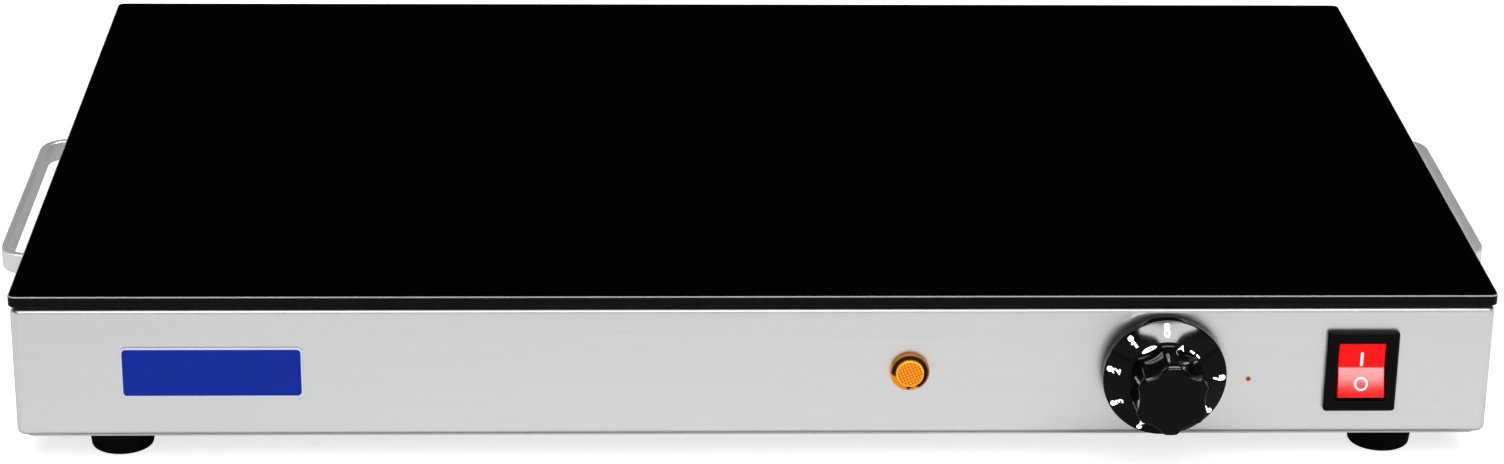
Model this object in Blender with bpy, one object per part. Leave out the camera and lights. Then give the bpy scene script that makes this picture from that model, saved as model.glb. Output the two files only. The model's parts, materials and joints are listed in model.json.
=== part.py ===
"""Electric food warmer tray: a black glass plate on a folded steel casing, with a dial and a switch.

Lengths are in metres and angles in degrees. The tray stands on its feet with +Z up, and its control
panel faces -Y. Every piece hangs on one empty, set back so that the outline's centre is at the origin.
The rest pose has the switch on and the dial at its highest mark.
"""

import math

import bmesh
import bpy
from mathutils import Vector
from mathutils.geometry import interpolate_bezier

# Shared sizes
SHEET = 0.001
SEAT_GAP = 0.0003
HOLE_CLEARANCE = 0.0003
CUT_OVERRUN = 0.002
MERGE_DISTANCE = 0.000002
SHARP_ANGLE = 35
CORNER_STEPS = 3
BEND_STEPS = 3

# Glass plate and its seal
GLASS_LENGTH = 0.530
GLASS_DEPTH = 0.325
GLASS_THICKNESS = 0.004
GLASS_CORNER = 0.0045
GLASS_CHAMFER = 0.0005
GLASS_OVERHANG = 0.0004
SEAL_THICKNESS = 0.0004
SEAL_WIDTH = 0.009
SEAL_INSET = 0.0025

# Casing, folded from one sheet
CASING_HEIGHT = 0.049
CASING_CORNER = 0.0035
CASING_BEND = 0.002
TOP_FLANGE = 0.014
BOTTOM_FLANGE = 0.024
FLANGE_CORNER = 0.001

# Bottom cover
COVER_INSET = 0.003
COVER_CORNER = 0.003
COVER_SCREW_INSET = 0.012
VENT_SLOT_LENGTH = 0.040
VENT_SLOT_WIDTH = 0.004
VENT_PITCH = 0.030
VENT_ROW_OFFSET = 0.050
VENTS_PER_ROW = 4

# Feet
FOOT_HEIGHT = 0.0084
FOOT_RADIUS = 0.012
FOOT_BOTTOM_RADIUS = 0.0112
FOOT_EDGE = 0.0008
FOOT_INSET_X = 0.0356
FOOT_INSET_Y = 0.0161
FOOT_SEAT_HEIGHT = 0.0044
FOOT_SEGMENTS = 24

# Screws, as thread diameter, head diameter and head height
M4_THREAD = 0.004
M4_HEAD = 0.0076
M4_HEAD_HEIGHT = 0.0024
M3_THREAD = 0.003
M3_HEAD = 0.0055
M3_HEAD_HEIGHT = 0.0018
FOOT_SCREW_LENGTH = 0.010
COVER_SCREW_LENGTH = 0.005
HANDLE_SCREW_LENGTH = 0.008
PLATE_SCREW_LENGTH = 0.0055
INLET_SCREW_LENGTH = 0.008
SCREW_SEGMENTS = 12
HEAD_EDGE_SHARE = 0.55
HEAD_CROWN_SHARE = 0.6
CROSS_LENGTH_SHARE = 0.55
CROSS_WIDTH_SHARE = 0.14
CROSS_DEPTH_SHARE = 0.55

# Handles, bent from flat bar
HANDLE_LENGTH = 0.126
HANDLE_REACH = 0.020
HANDLE_BAR = 0.003
HANDLE_BAR_HEIGHT = 0.008
HANDLE_GRIP_BEND = 0.0095
HANDLE_TAB_BEND = 0.0045
HANDLE_TAB = 0.016
HANDLE_CHAMFER = 0.0004
HANDLE_BEND_STEPS = 6

# Control panel: height above the casing's bottom, and each centre's distance from the casing's nearer end
CONTROL_HEIGHT = 0.025
BADGE_END_SPACE = 0.0706
PILOT_END_SPACE = 0.2100
KNOB_END_SPACE = 0.1190
SWITCH_END_SPACE = 0.0474

# Badge plate
BADGE_LENGTH = 0.0645
BADGE_HEIGHT = 0.019
BADGE_THICKNESS = 0.0008
BADGE_CORNER = 0.002

# Pilot lamp
PILOT_FLANGE_RADIUS = 0.00705
PILOT_FLANGE_THICKNESS = 0.0016
PILOT_DOME_RADIUS = 0.0054
PILOT_DOME_HEIGHT = 0.0018
PILOT_DOME_EDGE = 0.0006
PILOT_BODY_RADIUS = 0.0057
PILOT_BODY_LENGTH = 0.022
PILOT_SOCKET_DEPTH = 0.004
PILOT_STEM_RADIUS = 0.004
PILOT_STEM_LENGTH = 0.003
PILOT_NUT_RADIUS = 0.0085
PILOT_NUT_THICKNESS = 0.003
PILOT_SEGMENTS = 24

# Dial knob: radii, and heights above the panel
KNOB_RADIUS = 0.0222
KNOB_BACK = 0.003
KNOB_RIM_TOP = 0.0055
KNOB_RIM_EDGE = 0.0004
DIAL_RADIUS = 0.0213
HUB_RADIUS = 0.0170
HUB_HEIGHT = 0.0130
KNOB_WALL = 0.0016
BOSS_RADIUS = 0.0075
GRIP_HEIGHT = 0.0275
GRIP_RADIUS = 0.0134
GRIP_DRAFT = 0.0007
GRIP_EDGE = 0.0005
GRIP_LOBES = 6
GRIP_LOBE_ANGLE = 20
GRIP_FLUTE_DEPTH_SHARE = 0.13
GRIP_FLUTE_STEPS = 5
KNOB_SEGMENTS = 48

# Thermostat
SPINDLE_RADIUS = 0.003
SPINDLE_FLAT = 0.0019
SPINDLE_SINK = 0.004
INSERT_RADIUS = 0.0045
INSERT_INSET = 0.0003
BUSH_RADIUS = 0.005
BUSH_HEIGHT = 0.0012
PLATE_LENGTH = 0.038
PLATE_HEIGHT = 0.020
PLATE_CORNER = 0.003
PLATE_THICKNESS = 0.001
PLATE_STANDOFF = 0.004
PLATE_SCREW_PITCH = 0.028
BODY_LENGTH = 0.034
BODY_HEIGHT = 0.030
BODY_DEPTH = 0.022
BODY_CORNER = 0.002
ROUND_SEGMENTS = 12

# Rocker switch
BEZEL_LENGTH = 0.026
BEZEL_HEIGHT = 0.031
BEZEL_THICKNESS = 0.002
BEZEL_CORNER = 0.0012
BEZEL_CHAMFER = 0.0006
HOUSING_LENGTH = 0.0214
HOUSING_HEIGHT = 0.0281
HOUSING_DEPTH = 0.024
HOUSING_CORNER = 0.001
APERTURE_LENGTH = 0.0178
APERTURE_HEIGHT = 0.0224
APERTURE_CORNER = 0.0004
APERTURE_DEPTH = 0.012
ROCKER_SIDE_GAP = 0.0004
ROCKER_PIVOT_DEPTH = 0.004
ROCKER_END_HEIGHT = 0.0042
ROCKER_SKIRT = 0.003
ROCKER_TILT = 9
ROCKER_END_STEPS = 5
ROCKER_PIN_RADIUS = 0.0012
ROCKER_PIN_REACH = 0.0011

# Mains inlet
INLET_END_SPACE = 0.0646
INLET_FLANGE_LENGTH = 0.050
INLET_FLANGE_HEIGHT = 0.024
INLET_FLANGE_THICKNESS = 0.0022
INLET_FLANGE_CORNER = 0.004
INLET_BODY_LENGTH = 0.028
INLET_BODY_HEIGHT = 0.0205
INLET_BODY_DEPTH = 0.023
INLET_BODY_CORNER = 0.002
INLET_MOUTH_LENGTH = 0.0244
INLET_MOUTH_HEIGHT = 0.0166
INLET_MOUTH_CORNER = 0.0025
INLET_MOUTH_DEPTH = 0.0165
INLET_SCREW_PITCH = 0.040
PIN_PITCH = 0.007
PIN_RISE = 0.002
PIN_WIDTH = 0.004
PIN_THICKNESS = 0.002
PIN_SINK = 0.004
PIN_TAIL = 0.008

# Heating tray under the glass
PAN_FRONT_SPACE = 0.057
PAN_REAR_SPACE = 0.042
PAN_SIDE_SPACE = 0.035
PAN_HEIGHT = 0.022
PAN_RIM = 0.007
PAN_CORNER = 0.008
SPREADER_THICKNESS = 0.0015
SPREADER_LAP = 0.004
SPREADER_CORNER = 0.010
BLANKET_THICKNESS = 0.010
BLANKET_MARGIN = 0.002
RAIL_WIDTH = 0.020
RAIL_BEND = 0.002
RAIL_MARGIN = 0.010
RAIL_PLACE_SHARE = 0.57

# Heating element and sensor
ELEMENT_RADIUS = 0.00325
ELEMENT_PITCH = 0.033
ELEMENT_RUNS = 6
ELEMENT_FRONT_SPACE = 0.035
ELEMENT_SIDE_SPACE = 0.024
ELEMENT_RETURN_SPACE = 0.035
ELEMENT_END_REACH = 0.014
ELEMENT_BEND_STEPS = 8
NOTCH_CLEARANCE = 0.0008
CLAMP_WIDTH = 0.010
CLAMP_STRAP = 0.0015
CLAMP_BEND = 0.002
CLAMP_MARGIN = 0.012
CLAMP_PLACE_SHARE = 0.22
BULB_RADIUS = 0.003
BULB_LENGTH = 0.080
BULB_FRONT_SPACE = 0.016
CLIP_WIDTH = 0.012
CLIP_HALF_SPAN = 0.006

# Thin tubes: the wires and the capillary
WIRE_RADIUS = 0.0012
CAPILLARY_RADIUS = 0.001
WIRE_STEP = 0.007
LOOM_SPACE = 0.018
LOOM_PITCH = 0.006
LOOM_HEIGHT = 0.018
LEAD_REACH = 0.012
TERMINAL_PITCH = 0.012
TERMINAL_RISE = 0.005
LEAD_END = 0.004

# Worked out from the sizes above
HALF_X = GLASS_LENGTH / 2 - GLASS_OVERHANG
HALF_Y = GLASS_DEPTH / 2 - GLASS_OVERHANG
COVER_BOTTOM = FOOT_HEIGHT + SEAT_GAP
COVER_TOP = COVER_BOTTOM + SHEET
CASING_BOTTOM = COVER_TOP + SEAT_GAP
CASING_TOP = CASING_BOTTOM + CASING_HEIGHT
GLASS_BOTTOM = CASING_TOP + SEAL_THICKNESS + 2 * SEAT_GAP
CONTROL_Z = CASING_BOTTOM + CONTROL_HEIGHT
BADGE_X = BADGE_END_SPACE - HALF_X
PILOT_X = HALF_X - PILOT_END_SPACE
KNOB_X = HALF_X - KNOB_END_SPACE
SWITCH_X = HALF_X - SWITCH_END_SPACE
INLET_X = HALF_X - INLET_END_SPACE
FOOT_X = HALF_X - FOOT_INSET_X
FOOT_Y = HALF_Y - FOOT_INSET_Y
M4_HOLE = M4_THREAD / 2 + HOLE_CLEARANCE
M3_HOLE = M3_THREAD / 2 + HOLE_CLEARANCE
INLET_SCREW_SEAT = INLET_FLANGE_THICKNESS + 2 * SEAT_GAP
REAR_REACH = INLET_SCREW_SEAT + M3_HEAD_HEIGHT
SET_BACK = (GRIP_HEIGHT - REAR_REACH) / 2
SPREADER_BOTTOM = GLASS_BOTTOM - SEAT_GAP - SPREADER_THICKNESS
PAN_TOP = SPREADER_BOTTOM - SEAT_GAP
PAN_BOTTOM = PAN_TOP - PAN_HEIGHT
PAN_FRONT = -HALF_Y + PAN_FRONT_SPACE
PAN_REAR = HALF_Y - PAN_REAR_SPACE
PAN_HALF_X = HALF_X - PAN_SIDE_SPACE
PAN_HALF_Y = (PAN_REAR - PAN_FRONT) / 2
PAN_Y = (PAN_REAR + PAN_FRONT) / 2
ELEMENT_Z = PAN_TOP - ELEMENT_RADIUS
BULB_Z = PAN_TOP - BULB_RADIUS
BULB_Y = PAN_FRONT + BULB_FRONT_SPACE
ELEMENT_FIRST_Y = PAN_FRONT + ELEMENT_FRONT_SPACE
ELEMENT_LAST_Y = ELEMENT_FIRST_Y + (ELEMENT_RUNS - 1) * ELEMENT_PITCH
ELEMENT_SIDE_X = PAN_HALF_X - ELEMENT_SIDE_SPACE
ELEMENT_RETURN_X = ELEMENT_SIDE_X - ELEMENT_RETURN_SPACE
ELEMENT_END_Y = PAN_FRONT - ELEMENT_END_REACH
BODY_FRONT = SHEET + 2 * SEAT_GAP + PLATE_THICKNESS + PLATE_STANDOFF
BODY_REAR = BODY_FRONT + BODY_DEPTH
ROCKER_HALF_HEIGHT = APERTURE_HEIGHT / 2 - ROCKER_SIDE_GAP
ROCKER_HALF_LENGTH = APERTURE_LENGTH / 2 - ROCKER_SIDE_GAP
ROCKER_PIVOT = BEZEL_THICKNESS + SEAT_GAP - ROCKER_PIVOT_DEPTH

# Colours as linear red, green and blue, then roughness and metallic
BLACK_GLASS = ((0.002, 0.002, 0.002), 0.06, 0.0)
BRUSHED_STEEL = ((0.62, 0.62, 0.62), 0.32, 1.0)
POLISHED_STEEL = ((0.72, 0.72, 0.72), 0.18, 1.0)
ZINC = ((0.50, 0.51, 0.52), 0.40, 1.0)
ALUMINIUM = ((0.70, 0.70, 0.71), 0.35, 1.0)
BRASS = ((0.70, 0.50, 0.18), 0.30, 1.0)
COPPER = ((0.72, 0.36, 0.22), 0.30, 1.0)
DARK_STEEL = ((0.10, 0.09, 0.08), 0.50, 1.0)
BLACK_GLOSS = ((0.004, 0.004, 0.004), 0.12, 0.0)
BLACK_MATT = ((0.012, 0.012, 0.012), 0.60, 0.0)
RUBBER = ((0.010, 0.010, 0.010), 0.75, 0.0)
SILICONE = ((0.03, 0.03, 0.03), 0.65, 0.0)
RED = ((0.80, 0.004, 0.004), 0.20, 0.0)
AMBER = ((0.85, 0.33, 0.03), 0.25, 0.0)
BLUE = ((0.004, 0.022, 0.42), 0.30, 0.0)
WHITE_WOOL = ((0.62, 0.60, 0.55), 0.95, 0.0)
BROWN = ((0.13, 0.035, 0.012), 0.45, 0.0)
LIGHT_BLUE = ((0.02, 0.16, 0.58), 0.45, 0.0)
GREEN = ((0.06, 0.34, 0.03), 0.45, 0.0)
GREY = ((0.22, 0.22, 0.22), 0.50, 0.0)


def remove_startup_objects():
    for obj in list(bpy.data.objects):
        bpy.data.objects.remove(obj, do_unlink=True)


def empty(name, parent=None, location=(0, 0, 0), rotation=(0, 0, 0)):
    """A frame that pieces hang on; its rotation is in degrees."""
    frame = bpy.data.objects.new(name, None)
    bpy.context.scene.collection.objects.link(frame)
    place(frame, parent, location, rotation)
    return frame


def place(obj, parent, location=(0, 0, 0), rotation=(0, 0, 0)):
    obj.parent = parent
    obj.location = location
    obj.rotation_euler = [math.radians(angle) for angle in rotation]
    return obj


def finish(obj, look):
    """Gives the object a material of its own."""
    colour, roughness, metallic = look
    material = bpy.data.materials.new(obj.name)
    material.use_nodes = True
    shader = material.node_tree.nodes["Principled BSDF"]
    shader.inputs["Base Color"].default_value = (*colour, 1)
    shader.inputs["Roughness"].default_value = roughness
    shader.inputs["Metallic"].default_value = metallic
    obj.data.materials.clear()
    obj.data.materials.append(material)
    return obj


def body(name, points, faces):
    """A mesh object with its normals pointing out and its sharp edges kept."""
    shape = bmesh.new()
    corners = [shape.verts.new(point) for point in points]
    for face in faces:
        shape.faces.new([corners[index] for index in face])
    bmesh.ops.remove_doubles(shape, verts=shape.verts, dist=MERGE_DISTANCE)
    bmesh.ops.recalc_face_normals(shape, faces=shape.faces)
    mesh = bpy.data.meshes.new(name)
    shape.to_mesh(mesh)
    shape.free()
    mesh.shade_smooth()
    mesh.set_sharp_from_angle(angle=math.radians(SHARP_ANGLE))
    obj = bpy.data.objects.new(name, mesh)
    bpy.context.scene.collection.objects.link(obj)
    return obj


def loft(name, loops, ring=False):
    """A closed body through loops of equal counts: capped at its ends, or joined last to first as a ring."""
    count = len(loops[0])
    points = [point for loop in loops for point in loop]
    faces = []
    for row in range(len(loops) if ring else len(loops) - 1):
        start = row * count
        end = (row + 1) % len(loops) * count
        for column in range(count):
            after = (column + 1) % count
            faces.append((start + column, start + after, end + after, end + column))
    if not ring:
        faces.append(tuple(reversed(range(count))))
        faces.append(tuple(range(len(points) - count, len(points))))
    return body(name, points, faces)


def circle(radius, height, segments):
    angles = [2 * math.pi * step / segments for step in range(segments)]
    return [(radius * math.cos(angle), radius * math.sin(angle), height) for angle in angles]


def turned(name, profile, segments, ring=False):
    """A body turned about Z from (radius, height) pairs."""
    return loft(name, [circle(radius, height, segments) for radius, height in profile], ring)


def rounded(half_x, half_y, radius, height=0, steps=CORNER_STEPS):
    """One loop of a rectangle with round corners; a radius equal to both half sizes gives a circle."""
    points = []
    for quarter, (side_x, side_y) in enumerate(((1, 1), (-1, 1), (-1, -1), (1, -1))):
        centre_x = side_x * (half_x - radius)
        centre_y = side_y * (half_y - radius)
        for step in range(steps + 1):
            angle = math.pi / 2 * (quarter + step / steps)
            points.append((centre_x + radius * math.cos(angle), centre_y + radius * math.sin(angle), height))
    return points


def disc(radius, height):
    return rounded(radius, radius, radius, height)


def plate(name, half_x, half_y, corner, bottom, top):
    return loft(name, [rounded(half_x, half_y, corner, height) for height in (bottom, top)])


def extruded(name, outline, axis, start, end):
    """A flat outline drawn along X, Y or Z; its points are the other two coordinates, in that order."""
    spot = "XYZ".index(axis)
    loops = []
    for along in (start, end):
        loops.append([(*point[:spot], along, *point[spot:]) for point in outline])
    return loft(name, loops)


def block(name, size, centre=(0, 0, 0)):
    """A plain box."""
    x, y, z = [side / 2 for side in size]
    corners = [(x, y), (-x, y), (-x, -y), (x, -y)]
    loops = [[(centre[0] + a, centre[1] + b, centre[2] + level) for a, b in corners] for level in (-z, z)]
    return loft(name, loops)


def bent_strip(start, heading, moves, thickness, steps=BEND_STEPS):
    """Outline of a flat strip bent along a path of runs (a length) and bends (an angle and a radius)."""
    x, y = start
    angle = math.radians(heading)
    left = []
    right = []

    def note():
        side = (-math.sin(angle) * thickness / 2, math.cos(angle) * thickness / 2)
        left.append((x + side[0], y + side[1]))
        right.append((x - side[0], y - side[1]))

    note()
    for move in moves:
        if len(move) == 1:
            x += move[0] * math.cos(angle)
            y += move[0] * math.sin(angle)
            note()
            continue
        turn, radius = move
        side = math.copysign(1, turn)
        centre = (x - side * radius * math.sin(angle), y + side * radius * math.cos(angle))
        for _ in range(steps):
            angle += math.radians(turn) / steps
            x = centre[0] + side * radius * math.sin(angle)
            y = centre[1] - side * radius * math.cos(angle)
            note()
    return left + right[::-1]


def guide(obj):
    """Marks an object that only shapes others: it is no piece of the tray."""
    obj.hide_render = True
    obj.display_type = "WIRE"
    return obj


def combine(target, others, operation="DIFFERENCE"):
    """Cuts the other shapes from the target, or joins them to it."""
    group = bpy.data.collections.new(target.name + "_" + operation.lower())
    bpy.context.scene.collection.children.link(group)
    for other in others:
        guide(other)
        group.objects.link(other)
        bpy.context.scene.collection.objects.unlink(other)
    modifier = target.modifiers.new(operation.title(), "BOOLEAN")
    modifier.operation = operation
    modifier.operand_type = "COLLECTION"
    modifier.collection = group
    modifier.solver = "EXACT"
    return target


def drill(name, parent, spot, radius, depth=SHEET, level=0, segments=ROUND_SEGMENTS):
    """A round cutter along the parent's Z, from the level down to the depth below it, and a little past both."""
    cutter = turned(name, [(radius, -depth - CUT_OVERRUN), (radius, CUT_OVERRUN)], segments)
    return place(cutter, parent, (*spot, level))


def tube(name, route, radius, parent, sides=2):
    """A round tube along the route's points."""
    curve = bpy.data.curves.new(name, "CURVE")
    curve.dimensions = "3D"
    curve.bevel_depth = radius
    curve.bevel_resolution = sides
    curve.use_fill_caps = True
    line = curve.splines.new("POLY")
    line.points.add(len(route) - 1)
    for spot, point in zip(line.points, route):
        spot.co = (*point, 1)
    obj = bpy.data.objects.new(name, curve)
    bpy.context.scene.collection.objects.link(obj)
    return place(obj, parent)


def smooth_route(marks, step):
    """Points a step apart on a smooth curve through the marks; at a mark it leans to the nearer side."""
    marks = [Vector(mark) for mark in marks]
    runs = [end - start for start, end in zip(marks, marks[1:])]
    slopes = [runs[0].normalized()]
    for before, after in zip(runs, runs[1:]):
        far_share = after.length / (before.length + after.length)
        slopes.append(before.normalized().lerp(after.normalized(), 1 - far_share))
    slopes.append(runs[-1].normalized())
    route = [marks[0]]
    for start, end, slope_out, slope_in in zip(marks, marks[1:], slopes, slopes[1:]):
        length = (end - start).length
        count = max(2, round(length / step))
        reach = length / 3
        curve = interpolate_bezier(start, start + slope_out * reach, end - slope_in * reach, end, count + 1)
        route += curve[1:]
    return route


def add_glass(root):
    half_x = GLASS_LENGTH / 2
    half_y = GLASS_DEPTH / 2
    loops = []
    for inset, height in (
        (GLASS_CHAMFER, 0),
        (0, GLASS_CHAMFER),
        (0, GLASS_THICKNESS - GLASS_CHAMFER),
        (GLASS_CHAMFER, GLASS_THICKNESS),
    ):
        loops.append(rounded(half_x - inset, half_y - inset, GLASS_CORNER - inset, GLASS_BOTTOM + height))
    finish(place(loft("glass_top", loops), root), BLACK_GLASS)

    loops = []
    bottom = CASING_TOP + SEAT_GAP
    inner = SEAL_INSET + SEAL_WIDTH
    for inset, height in ((SEAL_INSET, 0), (SEAL_INSET, SEAL_THICKNESS), (inner, SEAL_THICKNESS), (inner, 0)):
        loops.append(rounded(HALF_X - inset, HALF_Y - inset, FLANGE_CORNER, bottom + height))
    finish(place(loft("glass_seal", loops, ring=True), root), SILICONE)


def arc(centre, radius, start, end, steps):
    """(inset, height) pairs along an arc."""
    pairs = []
    for step in range(steps + 1):
        angle = math.radians(start + (end - start) * step / steps)
        pairs.append((centre[0] + radius * math.cos(angle), centre[1] + radius * math.sin(angle)))
    return pairs


def casing_section():
    """The sheet's section as (inset, height) pairs: out along the bottom, up, in at the top, and back."""
    low = (CASING_BEND, CASING_BEND)
    high = (CASING_BEND, CASING_HEIGHT - CASING_BEND)
    inner = CASING_BEND - SHEET
    return [
        (BOTTOM_FLANGE, 0),
        *arc(low, CASING_BEND, 270, 180, BEND_STEPS),
        *arc(high, CASING_BEND, 180, 90, BEND_STEPS),
        (TOP_FLANGE, CASING_HEIGHT),
        (TOP_FLANGE, CASING_HEIGHT - SHEET),
        *arc(high, inner, 90, 180, BEND_STEPS),
        *arc(low, inner, 180, 270, BEND_STEPS),
        (BOTTOM_FLANGE, SHEET),
    ]


def foot_spots():
    return [(side_x * FOOT_X, side_y * FOOT_Y) for side_y in (-1, 1) for side_x in (-1, 1)]


def cover_screw_spots():
    reach_x = HALF_X - COVER_SCREW_INSET
    reach_y = HALF_Y - COVER_SCREW_INSET
    return [(0, -reach_y), (reach_x, 0), (0, reach_y), (-reach_x, 0)]


def handle_tab_centre():
    """Distance of each handle screw from the tray's middle, along the side."""
    return HANDLE_LENGTH / 2 - HANDLE_BAR / 2 + HANDLE_TAB_BEND + HANDLE_TAB / 2


def add_casing(root, panels):
    loops = []
    for inset, height in casing_section():
        corner = max(CASING_CORNER - inset, FLANGE_CORNER)
        loops.append(rounded(HALF_X - inset, HALF_Y - inset, corner, CASING_BOTTOM + height))
    casing = finish(place(loft("casing", loops, ring=True), root), BRUSHED_STEEL)

    floor = empty("casing_floor", root, (0, 0, CASING_BOTTOM + SHEET))
    front, rear = panels["front"], panels["rear"]
    cutters = [
        drill("bush_hole", front, (KNOB_X, 0), BUSH_RADIUS + HOLE_CLEARANCE),
        drill("pilot_hole", front, (PILOT_X, 0), PILOT_BODY_RADIUS + HOLE_CLEARANCE, segments=PILOT_SEGMENTS),
        window("switch_window", front, SWITCH_X, HOUSING_LENGTH, HOUSING_HEIGHT),
        window("inlet_window", rear, -INLET_X, INLET_BODY_LENGTH, INLET_BODY_HEIGHT),
    ]
    for side in (-1, 1):
        cutters.append(drill("plate_screw_hole", front, (KNOB_X + side * PLATE_SCREW_PITCH / 2, 0), M4_HOLE))
        cutters.append(drill("inlet_screw_hole", rear, (side * INLET_SCREW_PITCH / 2 - INLET_X, 0), M3_HOLE))
        for panel in ("left", "right"):
            cutters.append(drill("handle_hole", panels[panel], (side * handle_tab_centre(), 0), M4_HOLE))
    for spot in foot_spots() + cover_screw_spots():
        cutters.append(drill("floor_hole", floor, spot, M4_HOLE))
    combine(casing, cutters)


def window(name, panel, centre, length, height):
    """A cutter for a rectangular hole in a panel, a clearance larger than what passes through."""
    size = (length + 2 * HOLE_CLEARANCE, height + 2 * HOLE_CLEARANCE, SHEET + 2 * CUT_OVERRUN)
    return place(block(name, size, (0, 0, -SHEET / 2)), panel, (centre, 0, 0))


def add_cover(root):
    half_x = HALF_X - COVER_INSET
    half_y = HALF_Y - COVER_INSET
    cover = plate("bottom_cover", half_x, half_y, COVER_CORNER, COVER_BOTTOM, COVER_TOP)
    finish(place(cover, root), ZINC)
    level = empty("cover_level", root, (0, 0, COVER_TOP))
    cutters = [drill("cover_hole", level, spot, M4_HOLE) for spot in foot_spots() + cover_screw_spots()]
    for row in (-1, 1):
        for number in range(VENTS_PER_ROW):
            x = (number - (VENTS_PER_ROW - 1) / 2) * (VENT_SLOT_LENGTH + VENT_PITCH)
            slot = plate("vent", VENT_SLOT_LENGTH / 2, VENT_SLOT_WIDTH / 2, VENT_SLOT_WIDTH / 2,
                         -SHEET - CUT_OVERRUN, CUT_OVERRUN)
            cutters.append(place(slot, level, (x, row * VENT_ROW_OFFSET, 0)))
    combine(cover, cutters)


def screw_mesh(name, thread, head, head_height, length):
    """Mesh of a pan-head screw with a cross recess, seated at its zero plane with the head above."""
    reach = head / 2 * CROSS_LENGTH_SHARE
    arm = head * CROSS_WIDTH_SHARE / 2
    cross = [(reach, arm), (arm, arm), (arm, reach), (-arm, reach), (-arm, arm), (-reach, arm),
             (-reach, -arm), (-arm, -arm), (-arm, -reach), (arm, -reach), (arm, -arm), (reach, -arm)]
    profile = [
        (thread / 2, -length),
        (thread / 2, 0),
        (head / 2, 0),
        (head / 2, head_height * HEAD_EDGE_SHARE),
        (head / 2 * HEAD_CROWN_SHARE, head_height),
    ]
    blank = turned(name, profile, SCREW_SEGMENTS)
    floor = head_height * (1 - CROSS_DEPTH_SHARE)
    cutter = extruded(name + "_cross", cross, "Z", floor, head_height + CUT_OVERRUN)
    combine(blank, [cutter])
    bpy.context.view_layer.update()
    shape = bpy.data.meshes.new_from_object(blank.evaluated_get(bpy.context.evaluated_depsgraph_get()))
    bpy.data.objects.remove(blank)
    bpy.data.objects.remove(cutter)
    return shape


def add_screw(name, shape, parent, location, rotation=(0, 0, 0), look=ZINC):
    obj = bpy.data.objects.new(name, shape.copy())
    bpy.context.scene.collection.objects.link(obj)
    return finish(place(obj, parent, location, rotation), look)


def add_feet(root):
    bore = M4_HOLE
    recess = M4_HEAD / 2 + HOLE_CLEARANCE
    profile = [
        (FOOT_BOTTOM_RADIUS - FOOT_EDGE, 0),
        (FOOT_BOTTOM_RADIUS, FOOT_EDGE),
        (FOOT_RADIUS, FOOT_HEIGHT),
        (bore, FOOT_HEIGHT),
        (bore, FOOT_SEAT_HEIGHT),
        (recess, FOOT_SEAT_HEIGHT),
        (recess, 0),
    ]
    foot_screw = screw_mesh("foot_screw", M4_THREAD, M4_HEAD, M4_HEAD_HEIGHT, FOOT_SCREW_LENGTH)
    cover_screw = screw_mesh("cover_screw", M4_THREAD, M4_HEAD, M4_HEAD_HEIGHT, COVER_SCREW_LENGTH)
    places = ("front_left", "front_right", "rear_left", "rear_right")
    for label, spot in zip(places, foot_spots()):
        foot = turned("foot_" + label, profile, FOOT_SEGMENTS, ring=True)
        finish(place(foot, root, (*spot, 0)), RUBBER)
        seat = (*spot, FOOT_SEAT_HEIGHT - SEAT_GAP)
        add_screw("foot_screw_" + label, foot_screw, root, seat, (180, 0, 0))
    for label, spot in zip(("front", "right", "rear", "left"), cover_screw_spots()):
        seat = (*spot, COVER_BOTTOM - SEAT_GAP)
        add_screw("cover_screw_" + label, cover_screw, root, seat, (180, 0, 0))


def handle_outline(thickness):
    """Plan of the bar in a side panel's frame: x along the side, y out from it."""
    leg = HANDLE_REACH - SEAT_GAP - HANDLE_BAR - HANDLE_TAB_BEND - HANDLE_GRIP_BEND
    grip = HANDLE_LENGTH - HANDLE_BAR - 2 * HANDLE_GRIP_BEND
    start = (-handle_tab_centre() - HANDLE_TAB / 2, SEAT_GAP + HANDLE_BAR / 2)
    moves = [
        (HANDLE_TAB,),
        (90, HANDLE_TAB_BEND),
        (leg,),
        (-90, HANDLE_GRIP_BEND),
        (grip,),
        (-90, HANDLE_GRIP_BEND),
        (leg,),
        (90, HANDLE_TAB_BEND),
        (HANDLE_TAB,),
    ]
    return bent_strip(start, 0, moves, thickness, HANDLE_BEND_STEPS)


def add_handle(side, panel, screw):
    """The panel's local z points out from the side, and its local y points up."""
    half = HANDLE_BAR_HEIGHT / 2
    thin = HANDLE_BAR - 2 * HANDLE_CHAMFER
    loops = []
    for thickness, height in ((thin, -half), (HANDLE_BAR, HANDLE_CHAMFER - half),
                              (HANDLE_BAR, half - HANDLE_CHAMFER), (thin, half)):
        loops.append([(along, height, out) for along, out in handle_outline(thickness)])
    handle = finish(place(loft("handle_" + side, loops), panel), POLISHED_STEEL)
    cutters = []
    for label, end in (("front", -1), ("rear", 1)):
        spot = (end * handle_tab_centre(), 0)
        cutters.append(drill("tab_hole", panel, spot, M4_HOLE, HANDLE_BAR, SEAT_GAP + HANDLE_BAR))
        seat = (*spot, 2 * SEAT_GAP + HANDLE_BAR)
        add_screw(f"handle_screw_{side}_{label}", screw, panel, seat, look=POLISHED_STEEL)
    combine(handle, cutters)


def add_badge(front):
    badge = plate("badge_plate", BADGE_LENGTH / 2, BADGE_HEIGHT / 2, BADGE_CORNER,
                  SEAT_GAP, SEAT_GAP + BADGE_THICKNESS)
    finish(place(badge, front, (BADGE_X, 0, 0)), BLUE)


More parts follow.
